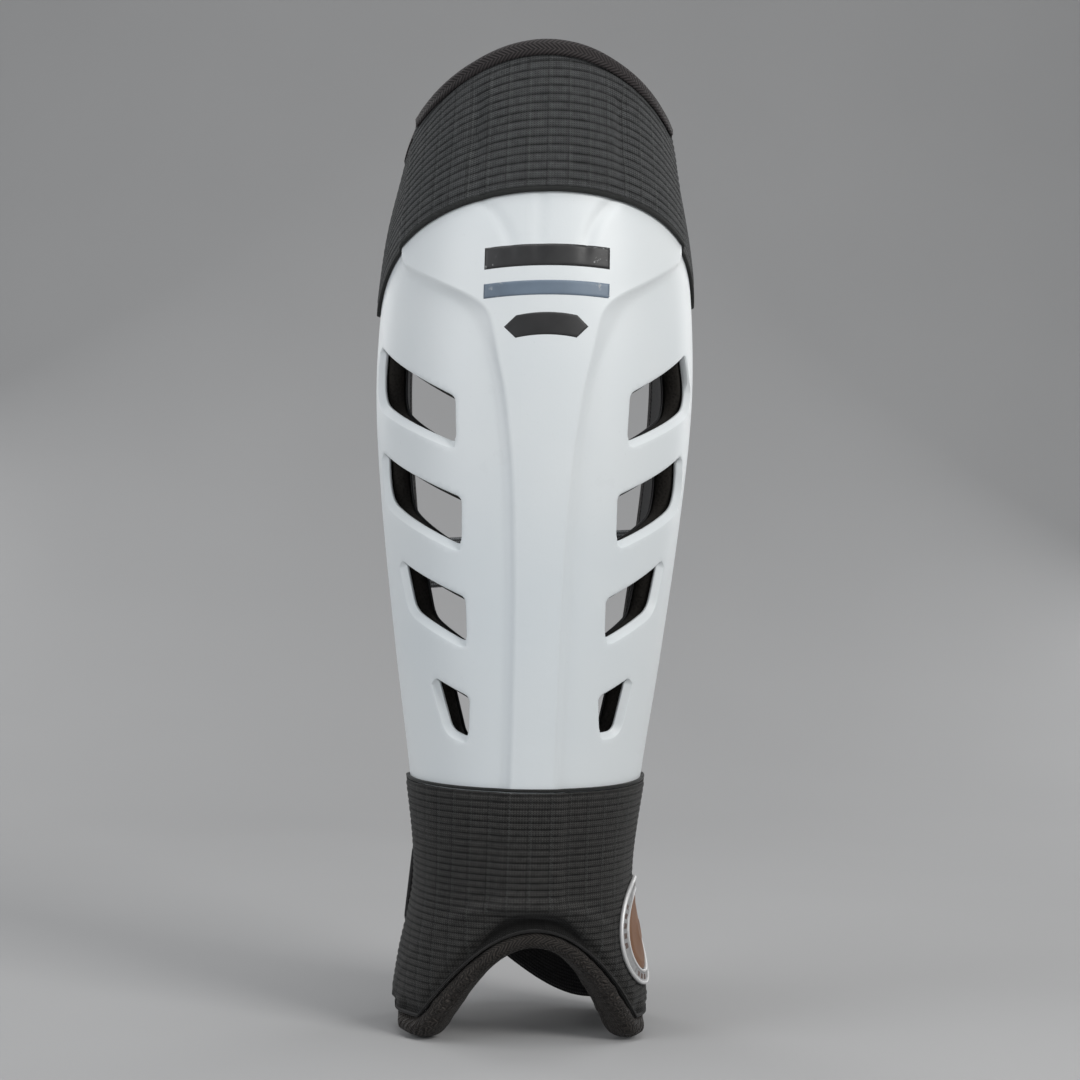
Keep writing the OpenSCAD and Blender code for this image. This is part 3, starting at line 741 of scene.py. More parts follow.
def fabric_material(name, color, weave=0.8, depth=0.12, rough=0.9, sheen=0.15, mottling=45):
    """Plain brushed or woven cloth from object coordinates."""
    m = Mat(name, color, rough, Specular_IOR_Level=0.25, Sheen_Weight=sheen, Sheen_Roughness=0.5)
    sep = m.node("ShaderNodeSeparateXYZ")
    m.link(m.pos, sep.inputs[0])
    x = m.mul(m.add(sep.outputs[0], sep.outputs[1]), 1000.0)
    z = m.mul(sep.outputs[2], 1000.0)
    warp, weft = m.wave(x, weave), m.wave(z, weave)
    cloth = m.mul(warp, weft)
    fuzz = m.noise(1300, 3, 0.7)
    broad = m.noise(mottling, 4)
    f = m.mad(cloth, 0.4, m.mul(fuzz, 0.7))
    col = m.ramp(f, [(0.15, tone(color, 0.5)), (0.75, tone(color, 1.6))])
    col = m.blend(m.mul(broad, 0.4), col, tone(color, 0.75))
    m.color(col)
    m.bump((cloth, depth, 0.6), (fuzz, 0.08, 0.5))
    return m.m


def foam_material(name, color):
    m = Mat(name, color, 0.95, Specular_IOR_Level=0.2)
    bubbles = m.cells(1100)
    broad = m.noise(80, 4)
    col = m.ramp(bubbles, [(0.05, tone(color, 0.5)), (0.55, tone(color, 1.25))])
    col = m.blend(m.mul(broad, 0.4), col, tone(color, 0.8))
    m.color(col)
    m.bump((bubbles, 0.15, 0.7))
    return m.m


def hook_material(name, color, scale=1600, depth=0.35):
    m = Mat(name, color, 0.85, Specular_IOR_Level=0.3, Sheen_Weight=0.2)
    hooks = m.cells(scale)
    broad = m.noise(90, 3)
    col = m.ramp(hooks, [(0.05, tone(color, 2.2)), (0.5, tone(color, 0.4))])
    col = m.blend(m.mul(broad, 0.3), col, color)
    m.color(col)
    m.bump((m.sub(1.0, hooks), depth, 0.9))
    return m.m


def webbing_material(name, color):
    """Woven elastic: st is (mm along, mm across)."""
    m = Mat(name, color, 0.78, Specular_IOR_Level=0.3, Sheen_Weight=0.12)
    a, b = m.st()[:2]
    cord = m.wave(b, 1.25)
    pick = m.wave(m.add(a, m.mul(m.math("PINGPONG", b, 0.625), 0.9)), 0.85)
    fuzz = m.noise(1400, 3, 0.7)
    broad = m.noise(60, 3)
    f = m.mad(cord, 0.42, m.mad(pick, 0.36, m.mul(fuzz, 0.35)))
    col = m.ramp(f, [(0.15, tone(color, 0.35)), (0.6, color), (0.98, tone(color, 2.4))])
    col = m.blend(m.mul(broad, 0.3), col, tone(color, 0.8))
    m.color(col)
    m.bump((cord, 0.25, 0.8), (pick, 0.14, 0.7), (fuzz, 0.05, 0.4))
    return m.m


def metal_look(name, lo, hi, rough=0.34, metallic=0.75):
    m = Mat(name, lo, rough, Metallic=metallic)
    brushed = m.noise(700, 4, 0.7)
    broad = m.noise(90, 3)
    m.color(m.ramp(m.mad(brushed, 0.6, m.mul(broad, 0.4)), [(0.3, lo), (0.75, hi)]))
    m.rough(brushed, rough - 0.08, rough + 0.16)
    m.bump((brushed, 0.04, 0.4))
    return m.m


def ring_material(name, inner, outer):
    """Pale metal band between two bright outlines, with plain brown blocks: st is x, y, radius."""
    m = Mat(name, (0.40, 0.40, 0.40), 0.42, Metallic=0.35)
    x, y, r = m.st()
    brushed = m.noise(700, 4, 0.7)
    middle = (inner + outer) / 2
    away = m.abs(m.sub(r, middle))
    outline = m.above(away, (outer - inner) / 2 - 0.95)
    band = m.below(away, 0.85)
    turn = m.math("ARCTAN2", y, x)
    block = m.above(m.wave(turn, 2 * math.pi / 30), 0.42)
    group = m.above(m.wave(turn, 2 * math.pi / 4, 0.9), 0.30)
    brown = m.mul(m.mul(block, group), m.mul(band, 0.85))
    col = m.ramp(brushed, [(0.3, (0.30, 0.30, 0.305)), (0.75, (0.42, 0.42, 0.42))])
    col = m.blend(outline, col, (0.66, 0.66, 0.66))
    m.color(m.blend(brown, col, (0.10, 0.050, 0.032)))
    m.rough(brushed, 0.34, 0.52)
    m.bump((brushed, 0.04, 0.4))
    return m.m


def thread_material(name, color):
    m = Mat(name, color, 0.6, Specular_IOR_Level=0.4)
    twist = m.noise(2600, 2, 0.5)
    m.color(m.ramp(twist, [(0.3, tone(color, 0.6)), (0.7, tone(color, 1.5))]))
    m.bump((twist, 0.08, 0.6))
    return m.m


M_SHELL = shell_material()
M_BLACK_PRINT = print_material("black_print", (0.016, 0.016, 0.017))
M_GREY_PRINT = print_material("grey_print", (0.125, 0.165, 0.215))
# mm from one rib of the knit covers to the next
RIBS_TOP, RIBS_ANKLE = 2.9, 2.25
M_KNIT_TOP = knit_material("rib_knit_top", RIBS_TOP, 0.47)
M_KNIT_ANKLE = knit_material("rib_knit_ankle", RIBS_ANKLE, 0.29, 0.06)
M_TAPE = herringbone_material("herringbone_tape")
M_ROLL = herringbone_material("herringbone_roll", (0.0150, 0.0125, 0.0108), 1.25, 4.2, True)
M_HEM = fabric_material("hem_tape", (0.017, 0.018, 0.0175), 0.5, 0.08)
M_PIPING = fabric_material("piping_cord", (0.012, 0.0115, 0.0115), 0.5, 0.08)
M_LINING = fabric_material("lining_fabric", (0.014, 0.014, 0.016), 0.55, 0.08)
M_WING = fabric_material("wing_fabric", (0.022, 0.022, 0.024), 0.7, 0.12)
M_FOAM = foam_material("foam", (0.020, 0.018, 0.016))
M_PAD = fabric_material("pad_fabric", (0.026, 0.026, 0.028), 0.9, 0.14)
M_HOOK = hook_material("hook_patch", (0.020, 0.020, 0.021))
M_LOOP = hook_material("loop_patch", (0.016, 0.016, 0.017), 2600, 0.5)
M_WEB = webbing_material("strap_elastic", (0.022, 0.021, 0.022))
M_WEB_GREY = webbing_material("calf_elastic", (0.20, 0.21, 0.22))
M_PULL = webbing_material("grey_tape", (0.105, 0.11, 0.118))
M_SILVER = ring_material("badge_silver", 13.14, 18.25)
M_COPPER = metal_look("badge_copper", (0.150, 0.070, 0.036), (0.225, 0.112, 0.058), 0.5, 0.1)
M_THREAD = thread_material("thread_black", (0.026, 0.025, 0.026))


def paint(ob, mat):
    ob.data.materials.clear()
    ob.data.materials.append(mat)
    return ob


# ------------------------------------------------------------------ shell
# section of the bevel round a window: share of its width, share of its depth
BEVEL = [(0.95, 0.02), (0.89, 0.09), (0.5, 0.5), (0.11, 0.91), (0.03, 0.98), (0.0, 1.04)]


def shell_limit(z):
    return np.minimum(side_s(z) + PAST_SIDE, edge_s(z) - 5)


def make_shell():
    step = 1.35
    r = SHELL_T / 2
    z_side = np.arange(52, 300, 1.4)
    right = np.stack([shell_limit(z_side), z_side], -1)
    u = np.linspace(SHELL_TOP_U, -SHELL_TOP_U, 110)
    zt = top_z(u) - 5
    top = np.stack([u / SHELL_TOP_U * shell_limit(zt), zt], -1)
    right = right[right[:, 1] < top[0, 1] - 1]
    bottom_s = np.linspace(-shell_limit(50.0), shell_limit(50.0), 80)
    bottom = np.stack([bottom_s, 50 + 0 * bottom_s], -1)
    outline = resample(np.vstack([bottom, right, top, (right * [-1, 1])[::-1]]), 1.3, closed=True)
    nrm = normals_2d(outline)
    loop = outline - r * nrm
    windows = window_loops(0.8)
    info = []
    holes = []
    for k, w in enumerate(windows):
        side = 1 if k < 4 else -1
        n = -normals_2d(w)            # away from the plastic, into the hole
        sill = smooth((n @ np.array([-0.6 * side, 0.8]) - 0.1) / 0.42)
        b = 0.4 + 2.05 * sill
        dep = 0.45 + 1.35 * sill
        info.append((w, -n, b, dep))
        holes.append(w - n * b[:, None])
    # rows of points along the ridge keep its crest sharp
    n2 = np.stack([np.gradient(_half[:, 1]), -np.gradient(_half[:, 0])], -1)
    n2 /= np.linalg.norm(n2, axis=1)[:, None]
    shifts = ((-0.8, 0, 0.8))
    ridge = [leaned(_half + d * n2, side) for d in shifts for side in (1, -1)]
    region = cut_sheet(loop, holes, step, ridge)

    def top_off(p):
        return relief(p[:, 0], p[:, 1])

    def rims(k, ring, outn):
        if k == 0:
            rel = relief(ring[:, 0], ring[:, 1])
            rows = []
            for a in (30, 60, 90, 120, 150):
                t = math.radians(a)
                rows.append((ring + outn * r * math.sin(t),
                             -r + r * math.cos(t) + rel * max(0, math.cos(t))))
            return rows, ring
        w, away, b, dep = info[k - 1]
        rel = top_off(ring)
        rows = []
        # a bevel from the face into the hole, then the wall down to the back of the plastic
        for f, h in BEVEL:
            rows.append((w + away * (b * f)[:, None], mix(rel, -dep, h)))
        rows.append((w, -np.maximum(dep, SHELL_T - 0.5) + 0 * dep))
        rows.append((w + away * 0.15, -SHELL_T + 0.15 + 0 * dep))
        return rows, w + away * 0.55

    ob = thick_sheet("shell_visual", region, top_off, flat_at(-SHELL_T), rims,
                     stands_for=("shell",), slot="shell_plastic")
    return paint(ob, M_SHELL)


def decal(name, z0, z1, half, lift_mm, mat, slot, node, hexagon=False):
    """Printed area that follows the panel, with a rounded rim."""
    n, m = (9, 60) if not hexagon else (15, 40)
    v = np.linspace(0, 1, n)[:, None]
    u = np.linspace(-1, 1, m)[None, :]
    width = half * (1 - 0.28 * np.abs(2 * v - 1)) if hexagon else half + 0 * v
    s = u * width
    z = mix(z0, z1, v) + 1.05 * (1 - u * u) + LEAN * s
    rim = np.minimum(np.minimum(v, 1 - v) * (z1 - z0), (1 - np.abs(u)) * half)
    t = lift_mm * np.sqrt(np.clip(rim / 0.25, 0, 1)) + 0.02
    base = relief(s + 0 * v, z)
    outer = skin(s, z, base + t)
    inner = skin(s, z, base - 0.25)
    st = np.stack([s + 0 * z, z, 0 * z], -1)
    return paint(slab(outer, inner, st, name=name, stands_for=(node,), slot=slot), mat)


# ------------------------------------------------------------------ covers
def dents(s, z):
    """The shell's ridges show through the top cover."""
    return -0.6 * gauss(np.abs(s) - 25, 3.2) * smooth((z - 296) / 6) * (1 - smooth((z - 319) / 6))


def face_area(grid):
    """Area in square metres of a grid of points."""
    a, b = grid[1:, :-1] - grid[:-1, :-1], grid[:-1, 1:] - grid[:-1, :-1]
    return float(np.linalg.norm(np.cross(a, b), axis=2).sum())


def ribbed(x, pitch):
    """Broad flat ribs with narrow grooves between them."""
    return 1 - (0.5 - 0.5 * np.cos(2 * np.pi * x / pitch)) ** 3


COVER_INSET = 1.6        # mm from the cover's side to the liner's edge


def make_top_cover():
    m = 190
    u = np.linspace(-1, 1, m)[None, :]
    w = np.arange(2.0, 62, 0.36)
    low, high = top_hem(u), top_z(u) - 1.7
    v = (w - w[0]) / (w[-1] - w[0])
    z = mix(low + 2.0, high, v[:, None] + 0 * u)
    s = u * (edge_s(z) - COVER_INSET)
    across = (z - low)
    p = relief(s, z) * 0.95 - sunk(s, z) + dents(s, z)
    rib = 0.20 * ribbed(across, RIBS_TOP) * smooth((across - 3.4) / 1.2)
    wale = -0.10 * gauss((np.mod(s + 3.3, 6.6) - 3.3), 0.5)
    puff = 0.20 * np.sin(s * 0.11 + 1.3) * np.sin(z * 0.13) * smooth(across / 12)
    outer = skin(s, z, COVER_OUT - 0.15 + p + rib + wale + puff * 0.5)
    inner = skin(s, z, COVER_IN + p)
    st = np.stack([s, 1 + 0 * s, across + 0 * s], -1)
    ob = slab(outer, inner, st, name="top_cover_knit", stands_for=("top_cover",), slot="rib_knit")
    return paint(ob, M_KNIT_TOP), face_area(outer)


def cord(name, rings, k, turn, node, mat):
    """Round cord or fold through rings of points, with the angles k and mm per radian round it."""
    rings = np.array(rings)
    along = run_length(rings.mean(1))[:, None] / MM
    st = np.stack([along + 0 * k, k * turn + 0 * along, 0 * k + 0 * along], -1)
    return paint(tube(rings, st, name=name, stands_for=(node,), slot="hem_tape"), mat)


def hem_band(name, line, width, off_fn, node):
    """Folded edge of a cover: a small rounded roll along it."""
    u = np.linspace(-1, 1, 220)
    k = np.linspace(0, 2 * np.pi, 15)[:-1]
    zc = line(u) + width / 2
    sc = u * (edge_s(zc) - COVER_INSET)
    base = off_fn(sc, zc)
    ct, sn = np.cos(k), np.sin(k)
    # the section is a little squarer than a circle
    face = 0.72 + 0.70 * np.sign(ct) * np.abs(ct) ** 0.7
    rise = width / 2 * np.sign(sn) * np.abs(sn) ** 0.7
    rings = [skin(s + 0 * k, z + rise, b + face) for s, z, b in zip(sc, zc, base)]
    return cord(name, rings, k, 1.2, node, M_HEM)


def ledge_z(s):
    """Lower end of the shell as it shows through the ankle cover."""
    return 47.8 - 0.010 * s * s


def ankle_base(s, z, u):
    """Offset of the ankle cover: over the spine, the shell's end and the valley above the roll."""
    over = (PANEL_UP + 0.1) * (1 - smooth((np.abs(s) - 8) / 5)) * smooth((z - 44.5) / 2)
    led = ledge_z(s)
    mid = 1 - smooth((np.abs(s) - 16) / 16)
    swell = (1.3 * mid + 0.2) * gauss(z - led - 0.4, 2.3)
    gap = z - roll_top(u)
    below = 1 - smooth((z - led + 4.6) / 2.6)
    sides = 1 - smooth((np.abs(u) - 0.50) / 0.06)
    valley = -(3.4 * mid + 1.5 * (1 - mid)) * gauss(gap - 2.4, 2.8) * sides
    return over + swell + valley * mix(1, below, mid) - sunk(s, z)


def make_ankle_cover():
    n, m = ((230, 210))
    u = np.linspace(-1, 1, m)[None, :]
    v = np.linspace(0, 1, n)[:, None]
    low, high = seam(u) + 0.2, ankle_hem(u) - 0.3
    z = mix(low + 0 * v, high, v)
    s = u * (edge_s(z) - COVER_INSET)
    across = ankle_hem(u) - z + 0 * s
    base = ankle_base(s, z, u + 0 * v)
    # a smooth strip above the roll, widest in the middle: no ribs there, and painted dark as the shade
    # of its valley
    strip = 1.0 + 4.3 * (1 - smooth((np.abs(s - 2) - 9) / 14))
    rib_fade_and_valley_shade = smooth((z - roll_top(u) - strip) / 1.5)
    rib = 0.30 * ribbed(across, RIBS_ANKLE) * rib_fade_and_valley_shade * smooth((ankle_hem(u) - z - 1.2) / 1.0)
    wale = -0.08 * gauss((np.mod(s + 3.35, 6.7) - 3.35), 0.5)
    outer = skin(s, z, COVER_OUT - 0.2 + base + rib + wale)
    inner = skin(s, z, np.maximum(base, -3.2) + 0.25)
    # the second st number tells the knit material where to paint the valley shade
    st = np.stack([s, rib_fade_and_valley_shade, across], -1)
    ob = slab(outer, inner, st, name="ankle_cover_knit", stands_for=("ankle_cover",),
              slot="rib_knit")
    return paint(ob, M_KNIT_ANKLE), face_area(outer)


# ------------------------------------------------------------------ bindings
SIDE_NAME = {-1: "left", 1: "right"}
TAPE_W, TAPE_T, TAPE_FOLD = 6.0, 0.8, 2.2
TAPE_LOW = LINING_IN - 0.9


def rim_out(z):
    """Outer face that the side tape covers."""
    cover = COVER_OUT + 0.2 - WING_DROP
    if z > 170:
        return mix(-WING_DROP, cover, smooth((z - 232) / 10))
    return mix(-WING_DROP, cover, smooth((109 - z) / 10))


def tape_profile(out, width, n=9):
    """Outer and inner section of a folded tape: rows of (distance in from the edge, offset)."""
    low, thick, fold = TAPE_LOW, TAPE_T, TAPE_FOLD
    mid, half = (out + low) / 2, (out - low) / 2
    a = np.linspace(np.pi / 2, -np.pi / 2, n)
    legs = np.linspace(width, fold, 5)[:-1]
    d = np.r_[legs, fold - (fold + thick) * np.cos(a), legs[::-1]]
    o = np.r_[0 * legs + out, mid + half * np.sin(a), 0 * legs + low]
    di = np.r_[legs, fold - fold * np.cos(a), legs[::-1]]
    oi = np.r_[0 * legs + out - thick, mid + (half - thick) * np.sin(a), 0 * legs + low + thick]
    # rounded raw ends
    o[0] -= thick * 0.45
    oi[0] += thick * 0.25
    o[-1] += thick * 0.45
    oi[-1] -= thick * 0.25
    return d, o, di, oi


def tape(name, node, outer, inner, along, across):
    """Tape from its sections; the inner leg's weave starts 12 mm further on."""
    across = np.array(across)
    back = np.where(np.arange(across.shape[1]) < across.shape[1] // 2, 0, 12)
    st = np.stack([np.reshape(along, (-1, 1)) + 0 * across, across + back, 0 * across], -1)
    return paint(slab(np.array(outer), np.array(inner), st, name=name, stands_for=(node,),
                      slot="herringbone_tape"), M_TAPE)


def make_top_binding():
    outer, inner, across, edge = [], [], [], []
    du = 1e-3
    for u in np.linspace(-1, 1, 170):
        zt = top_z(u) - 0.8
        # inward direction in the s, z plane
        sa, sb = [(x * (edge_s(top_z(x)) - 1)) for x in (u - du, u + du)]
        t = np.array([sb - sa, top_z(u + du) - top_z(u - du)])
        t /= np.hypot(*t)
        inward = np.array([t[1], -t[0]])
        s0 = u * (edge_s(zt) - 1)
        raised = float(relief(np.array([s0]), np.array([zt - 4]))[0])
        cover = COVER_OUT + 0.95 * raised - float(sunk(s0, zt))
        end = float(smooth((abs(u) - 0.66) / 0.14))
        d, o, di, oi = tape_profile(cover + mix(1.0, 0.5, end), mix(TAPE_W, 3.6, end))
        outer.append(skin(s0 + inward[0] * d, zt + inward[1] * d, o))
        inner.append(skin(s0 + inward[0] * di, zt + inward[1] * di, oi))
        across.append(d)
        edge.append(skin(s0, zt, 0))
    return tape("top_binding_tape", "top_binding", outer, inner, run_length(edge) / MM, across)


def make_side_binding(side):
    low, corner = 9.0, 7.0
    zs = np.linspace(low, float(top_z(1.0)) - 0.6, 190)
    outer, inner, across = [], [], []
    for z in zs:
        d, o, di, oi = tape_profile(rim_out(z) + 0.9, TAPE_W)
        s0 = edge_s(z) - 0.9
        if z < low + corner:
            # the lower corner is rounded off towards the sole
            s0 = s0 - 1.2 * (1 - np.sqrt(np.clip(1 - (1 - (z - low) / corner) ** 2, 0, 1)))
        outer.append(skin(side * (s0 - d), z, o))
        inner.append(skin(side * (s0 - di), z, oi))
        across.append(d)
    return tape("side_binding_tape_" + SIDE_NAME[side], "side_binding_" + SIDE_NAME[side],
                outer, inner, zs, across)


ROLL_MID = (1.5 + LINING_IN) / 2


def full(t):
    """Turns a round section into a fuller one."""
    return np.sign(t) * np.abs(t) ** 0.68


def roll_rings(m, k, grow=1.0):
    """Rings round the padded roll and the soles, from the left rear corner to the right one."""
    us = np.sin(np.linspace(-np.pi / 2, np.pi / 2, m))
    us = 0.55 * us + 0.45 * np.linspace(-1, 1, m)
    a = np.linspace(0, 2 * np.pi, k, endpoint=False)
    rings = []
    for u in us:
        lo, hi = arch_low(u), roll_top(u)
        mid_z, half_z = (lo + hi) / 2, (hi - lo) / 2 * grow
        r = mix(6.9, 6.1, min(1, max(0, abs(u) - FOOT_U) / 0.2)) * grow
        z = mid_z + half_z * full(np.sin(a))
        s = u * (edge_s(np.maximum(z, 0)) - 0.8)
        drop = sunk(s, z) * np.clip(np.cos(a), 0, 1)
        rings.append(skin(s, z, ROLL_MID + r * full(np.cos(a)) - drop))
    return np.array(rings)


def make_roll():
    """Padded roll over the instep: a cloth simulation inflates a slightly smaller core."""
    rings = roll_rings(130, 24, 0.95)
    ob = tube(rings, name="arch_roll", body=None)
    inflate(ob, 2.8, pressure=3.5, cap=1.6)
    # flat where it stands on the floor
    for v in ob.data.vertices:
        v.co.z = max(v.co.z, 0.0)
    # coordinates for the twill: along the centre line and round the section
    centre = rings.mean(1)
    d = run_length(centre) / MM
    co = np.array([v.co for v in ob.data.vertices])
    tan = np.gradient(centre, axis=0)
    tan /= np.linalg.norm(tan, axis=1)[:, None]
    up = rings[:, 5] - centre
    near = np.argmin(((co[:, None, :] - centre[None]) ** 2).sum(2), 1)
    rel = co - centre[near]
    al = d[near] + (rel * tan[near]).sum(1) / MM
    upn = up[near] / np.linalg.norm(up[near], axis=1)[:, None]
    side = np.cross(tan[near], upn)
    ang = np.arctan2((rel * side).sum(1), (rel * upn).sum(1))
    put_st(ob.data, np.stack([al, ang * 6.0, 0 * al], -1))
    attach(ob, "guard")
    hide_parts("arch_binding")
    return paint(ob, M_ROLL)


def remesh(ob, voxel):
    """Even mesh of about that size in mm."""
    r = ob.modifiers.new("remesh", "REMESH")
    r.mode = "VOXEL"
    r.voxel_size = voxel * MM
    apply_modifiers(ob)


def subdivide(ob):
    s = ob.modifiers.new("subdivide", "SUBSURF")
    s.levels = s.render_levels = 1
    apply_modifiers(ob)
    smooth_shade(ob.data)


def inflate(ob, voxel, pressure, cap, frames=16, pin=None):
    """Cloth simulation of a stuffed piece, with the movement of each point capped in mm."""
    remesh(ob, voxel)
    start = np.array([v.co for v in ob.data.vertices])
    if pin is not None:
        g = ob.vertex_groups.new(name="seam")
        g.add([int(i) for i in np.nonzero(pin(start))[0]], 1.0, "ADD")
    c = ob.modifiers.new("cloth", "CLOTH")
    st = c.settings
    st.use_pressure = True
    st.uniform_pressure_force = pressure
    st.effector_weights.gravity = 0
    st.quality = 6
    st.mass = 0.2
    st.tension_stiffness = st.compression_stiffness = 20
    st.bending_stiffness = 0.6
    c.collision_settings.use_collision = False
    if pin is not None:
        st.vertex_group_mass = "seam"
    c.point_cache.frame_start, c.point_cache.frame_end = 1, frames
    scene = bpy.context.scene
    scene.frame_start, scene.frame_end = 1, frames
    for f in range(1, frames + 1):
        scene.frame_set(f)
    dg = bpy.context.evaluated_depsgraph_get()
    end = np.array([v.co for v in ob.evaluated_get(dg).data.vertices])
    ob.modifiers.clear()
    scene.frame_set(1)
    move = end - start
    far = np.linalg.norm(move, axis=1)
    move *= np.minimum(1, cap * MM / np.maximum(far, 1e-9))[:, None]
    end = start + move
    ob.data.vertices.foreach_set("co", end.ravel())
    ob.data.update()
    subdivide(ob)


def make_piping():
    k = np.linspace(0, 2 * np.pi, 11)[:-1]
    rings = []
    for u in np.linspace(-FOOT_U, FOOT_U, 240):
        zc = float(seam(u)) + 0.35
        s = u * edge_s(zc)
        base = 1.3 + float(ankle_base(np.array(s), np.array(zc), np.array(u))) * 0.35
        r = 0.2 + 0.3 * smooth((FOOT_U - abs(u)) / 0.04)
        rings.append(skin(s + 0 * k, zc + r * np.sin(k), base + r * np.cos(k)))
    return cord("arch_piping_cord", rings, k, 1.0, "arch_piping", M_PIPING)


# ------------------------------------------------------------------ liner
def liner_outline(inset, low_fn, step):
    u = np.linspace(-1, 1, 240)
    zt = top_z(u) - 1.7
    top = np.stack([u * (edge_s(zt) - inset), zt], -1)[::-1]
    zl = low_fn(u)
    low = np.stack([u * (edge_s(zl) - inset), zl], -1)
    zs = np.linspace(low_fn(np.array(1.0)) + 1, top_z(1.0) - 3, 120)
    right = np.stack([edge_s(zs) - inset, zs], -1)
    return resample(np.vstack([low, right, top, (right * [-1, 1])[::-1]]), step, closed=True)


def make_foam():
    loop = liner_outline(3.0, lambda u: 49 + 0 * u, 3.0)
    holes = window_loops(1.6, 2.0, 0.9)
    region = cut_sheet(loop, holes, 4.0)
    mid, half = (FOAM_OUT + FOAM_IN) / 2, (FOAM_OUT - FOAM_IN) / 2

    def rims(k, ring, outn):
        rows = []
        for a in (40, 90, 140):
            t = math.radians(a)
            off = np.full(len(ring), mid + half * math.cos(t))
            rows.append((ring + outn * 0.8 * math.sin(t), off))
        return rows, ring

    ob = thick_sheet("foam_liner_pad", region, flat_at(FOAM_OUT), flat_at(FOAM_IN), rims,
                     stands_for=("foam_liner",), slot="foam")
    return paint(ob, M_FOAM)


_channel = [(22, 318), (20, 260), (17, 200), (15.5, 130), (14, 66)]
CHANNELS = [chaikin([(side * s, z) for s, z in _channel], 2) for side in (1, -1)]


def lining_off(p, holes):
    """Inner face of the lining: sewn down along its channels and round the windows."""
    o = np.full(len(p), LINING_IN)
    groove = np.zeros(len(p))
    for c in CHANNELS:
        groove = np.maximum(groove, gauss(distance(p, c), 1.6))
    for h in holes:
        near = (np.abs(p[:, 0] - h[:, 0].mean()) < 36) & (np.abs(p[:, 1] - h[:, 1].mean()) < 30)
        if near.any():
            d = distance(p[near], h, closed=True)
            groove[near] = np.maximum(groove[near], gauss(d - 3.0, 1.0))
            groove[near] = np.maximum(groove[near], 0.8 * (1 - smooth(d / 2.0)))
    return o - 0.75 * (1 - groove) + 0.1


def make_lining():
    step = 2.1
    loop = liner_outline(2.0, lambda u: roll_top(u) + 0.4, 2.0)
    holes = window_loops(1.2, 2.0, 0.6)
    region = cut_sheet(loop, holes, step, CHANNELS)

    def rims(k, ring, outn):
        return [(ring + outn * 0.35, np.full(len(ring), off)) for off in (-9.6, -10.1)], ring

    ob = thick_sheet("lining_cloth", region, flat_at(LINING_OUT), lambda p: lining_off(p, holes),
                     rims, stands_for=("lining",), slot="lining_fabric")
    return paint(ob, M_LINING)


def make_ankle_foam():
    n, m = 18, 90
    u = np.linspace(-1, 1, m)[None, :]
    v = np.linspace(0, 1, n)[:, None]
    z = mix(roll_top(u) + 0.8 + 0 * v, 47.5, v)
    s = u * (edge_s(z) - 3.0)
    near = np.minimum(v, 1 - v)
    soft = 1.2 * (1 - np.sqrt(np.clip(near / 0.2, 0, 1)))
    o = -0.5 + np.minimum(0, ankle_base(s, z, u + 0 * v)) - soft
    ob = slab(skin(s, z, np.maximum(o, FOAM_IN + 2.5)), skin(s, z, FOAM_IN + 0.05 + soft),
              name="ankle_foam_pad", stands_for=("ankle_foam",), slot="foam")
    return paint(ob, M_FOAM)


PAD_S, PAD_Z, PAD_HALF_S, PAD_HALF_Z = 64.5, 40.0, 13.2, 23.0


def make_ankle_pad(side):
    """Domed pad over the ankle bone: inflated by cloth simulation from a flat oval cushion."""
    n = 14
    a, b = np.meshgrid(np.linspace(-1, 1, n), np.linspace(-1, 1, n))
    p, q = a * np.sqrt(1 - b * b / 2), b * np.sqrt(1 - a * a / 2)
    s, z = side * PAD_S + PAD_HALF_S * p, PAD_Z + PAD_HALF_Z * q
    d = np.clip(1 - p * p - q * q, 0, 1)
    back = skin(s, z, -10.55)
    face = skin(s, z, -11.2 - 3.6 * np.sqrt(d))
    ob = slab(back, face, name="ankle_pad_cushion_" + SIDE_NAME[side], body=None)
    turn = np.linspace(0, 6.28, 60)
    rim = skin(side * PAD_S + PAD_HALF_S * np.cos(turn), PAD_Z + PAD_HALF_Z * np.sin(turn),
               -10.8)

    def pin(co):
        return ((co[:, None] - rim[None]) ** 2).sum(2).min(1) < (2.6 * MM) ** 2

    inflate(ob, 3.0, pressure=4.0, cap=2.4, pin=pin)
    # keep the back flat against the lining
    co = np.array([v.co for v in ob.data.vertices])
    limit = abs(skin(side * PAD_S, PAD_Z, -10.5)[0])
    co[:, 0] = np.clip(co[:, 0], -limit, limit)
    ob.data.vertices.foreach_set("co", co.ravel())
    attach(ob, "guard")
    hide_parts("ankle_pad_" + SIDE_NAME[side])
    return paint(ob, M_PAD)


def make_wing(side):
    """Outer fabric of the liner behind the shell edge, slightly puffed between its seams."""
    n, m = ((130, 14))
    v = np.linspace(0, 1, n)[:, None]
    t = np.linspace(0, 1, m)[None, :]
    z = mix(94.0, 255.0, v) + 0 * t
    s = mix(side_s(z) + PAST_SIDE + 0.8, edge_s(z) - 1.8, t)
    puff = 0.42 * np.sin(np.pi * np.clip(t, 0, 1)) ** 0.6 * (0.9 + 0.1 * np.sin(z * 0.23))
    outer = skin(side * s, z, -WING_DROP - 0.75 + puff)
    inner = skin(side * s, z, -WING_DROP - 0.95 + 0 * z)
    return paint(slab(outer, inner, name="wing_fabric_" + SIDE_NAME[side],
                      stands_for=("wing_" + SIDE_NAME[side],), slot="lining_fabric"), M_WING)


def make_patches():
    n = 10
    a, b = np.meshgrid(np.linspace(-1, 1, n), np.linspace(-1, 1, n))
    verts, faces = [], []
    for side in (-1, 1):
        for zc in (78, 256):
            s, z = side * 44 + 8.8 * a, zc + 8.8 * b
            faces += slab_faces(n, n, len(verts))
            for off in (-SHELL_T - 0.17, -SHELL_T - 0.43):
                verts += list(skin(s, z, off).reshape(-1, 3))
    return paint(new_object("shell_hook_patches", np.array(verts), faces,
                            stands_for=("shell_patches",), slot="hook_patch"), M_HOOK)


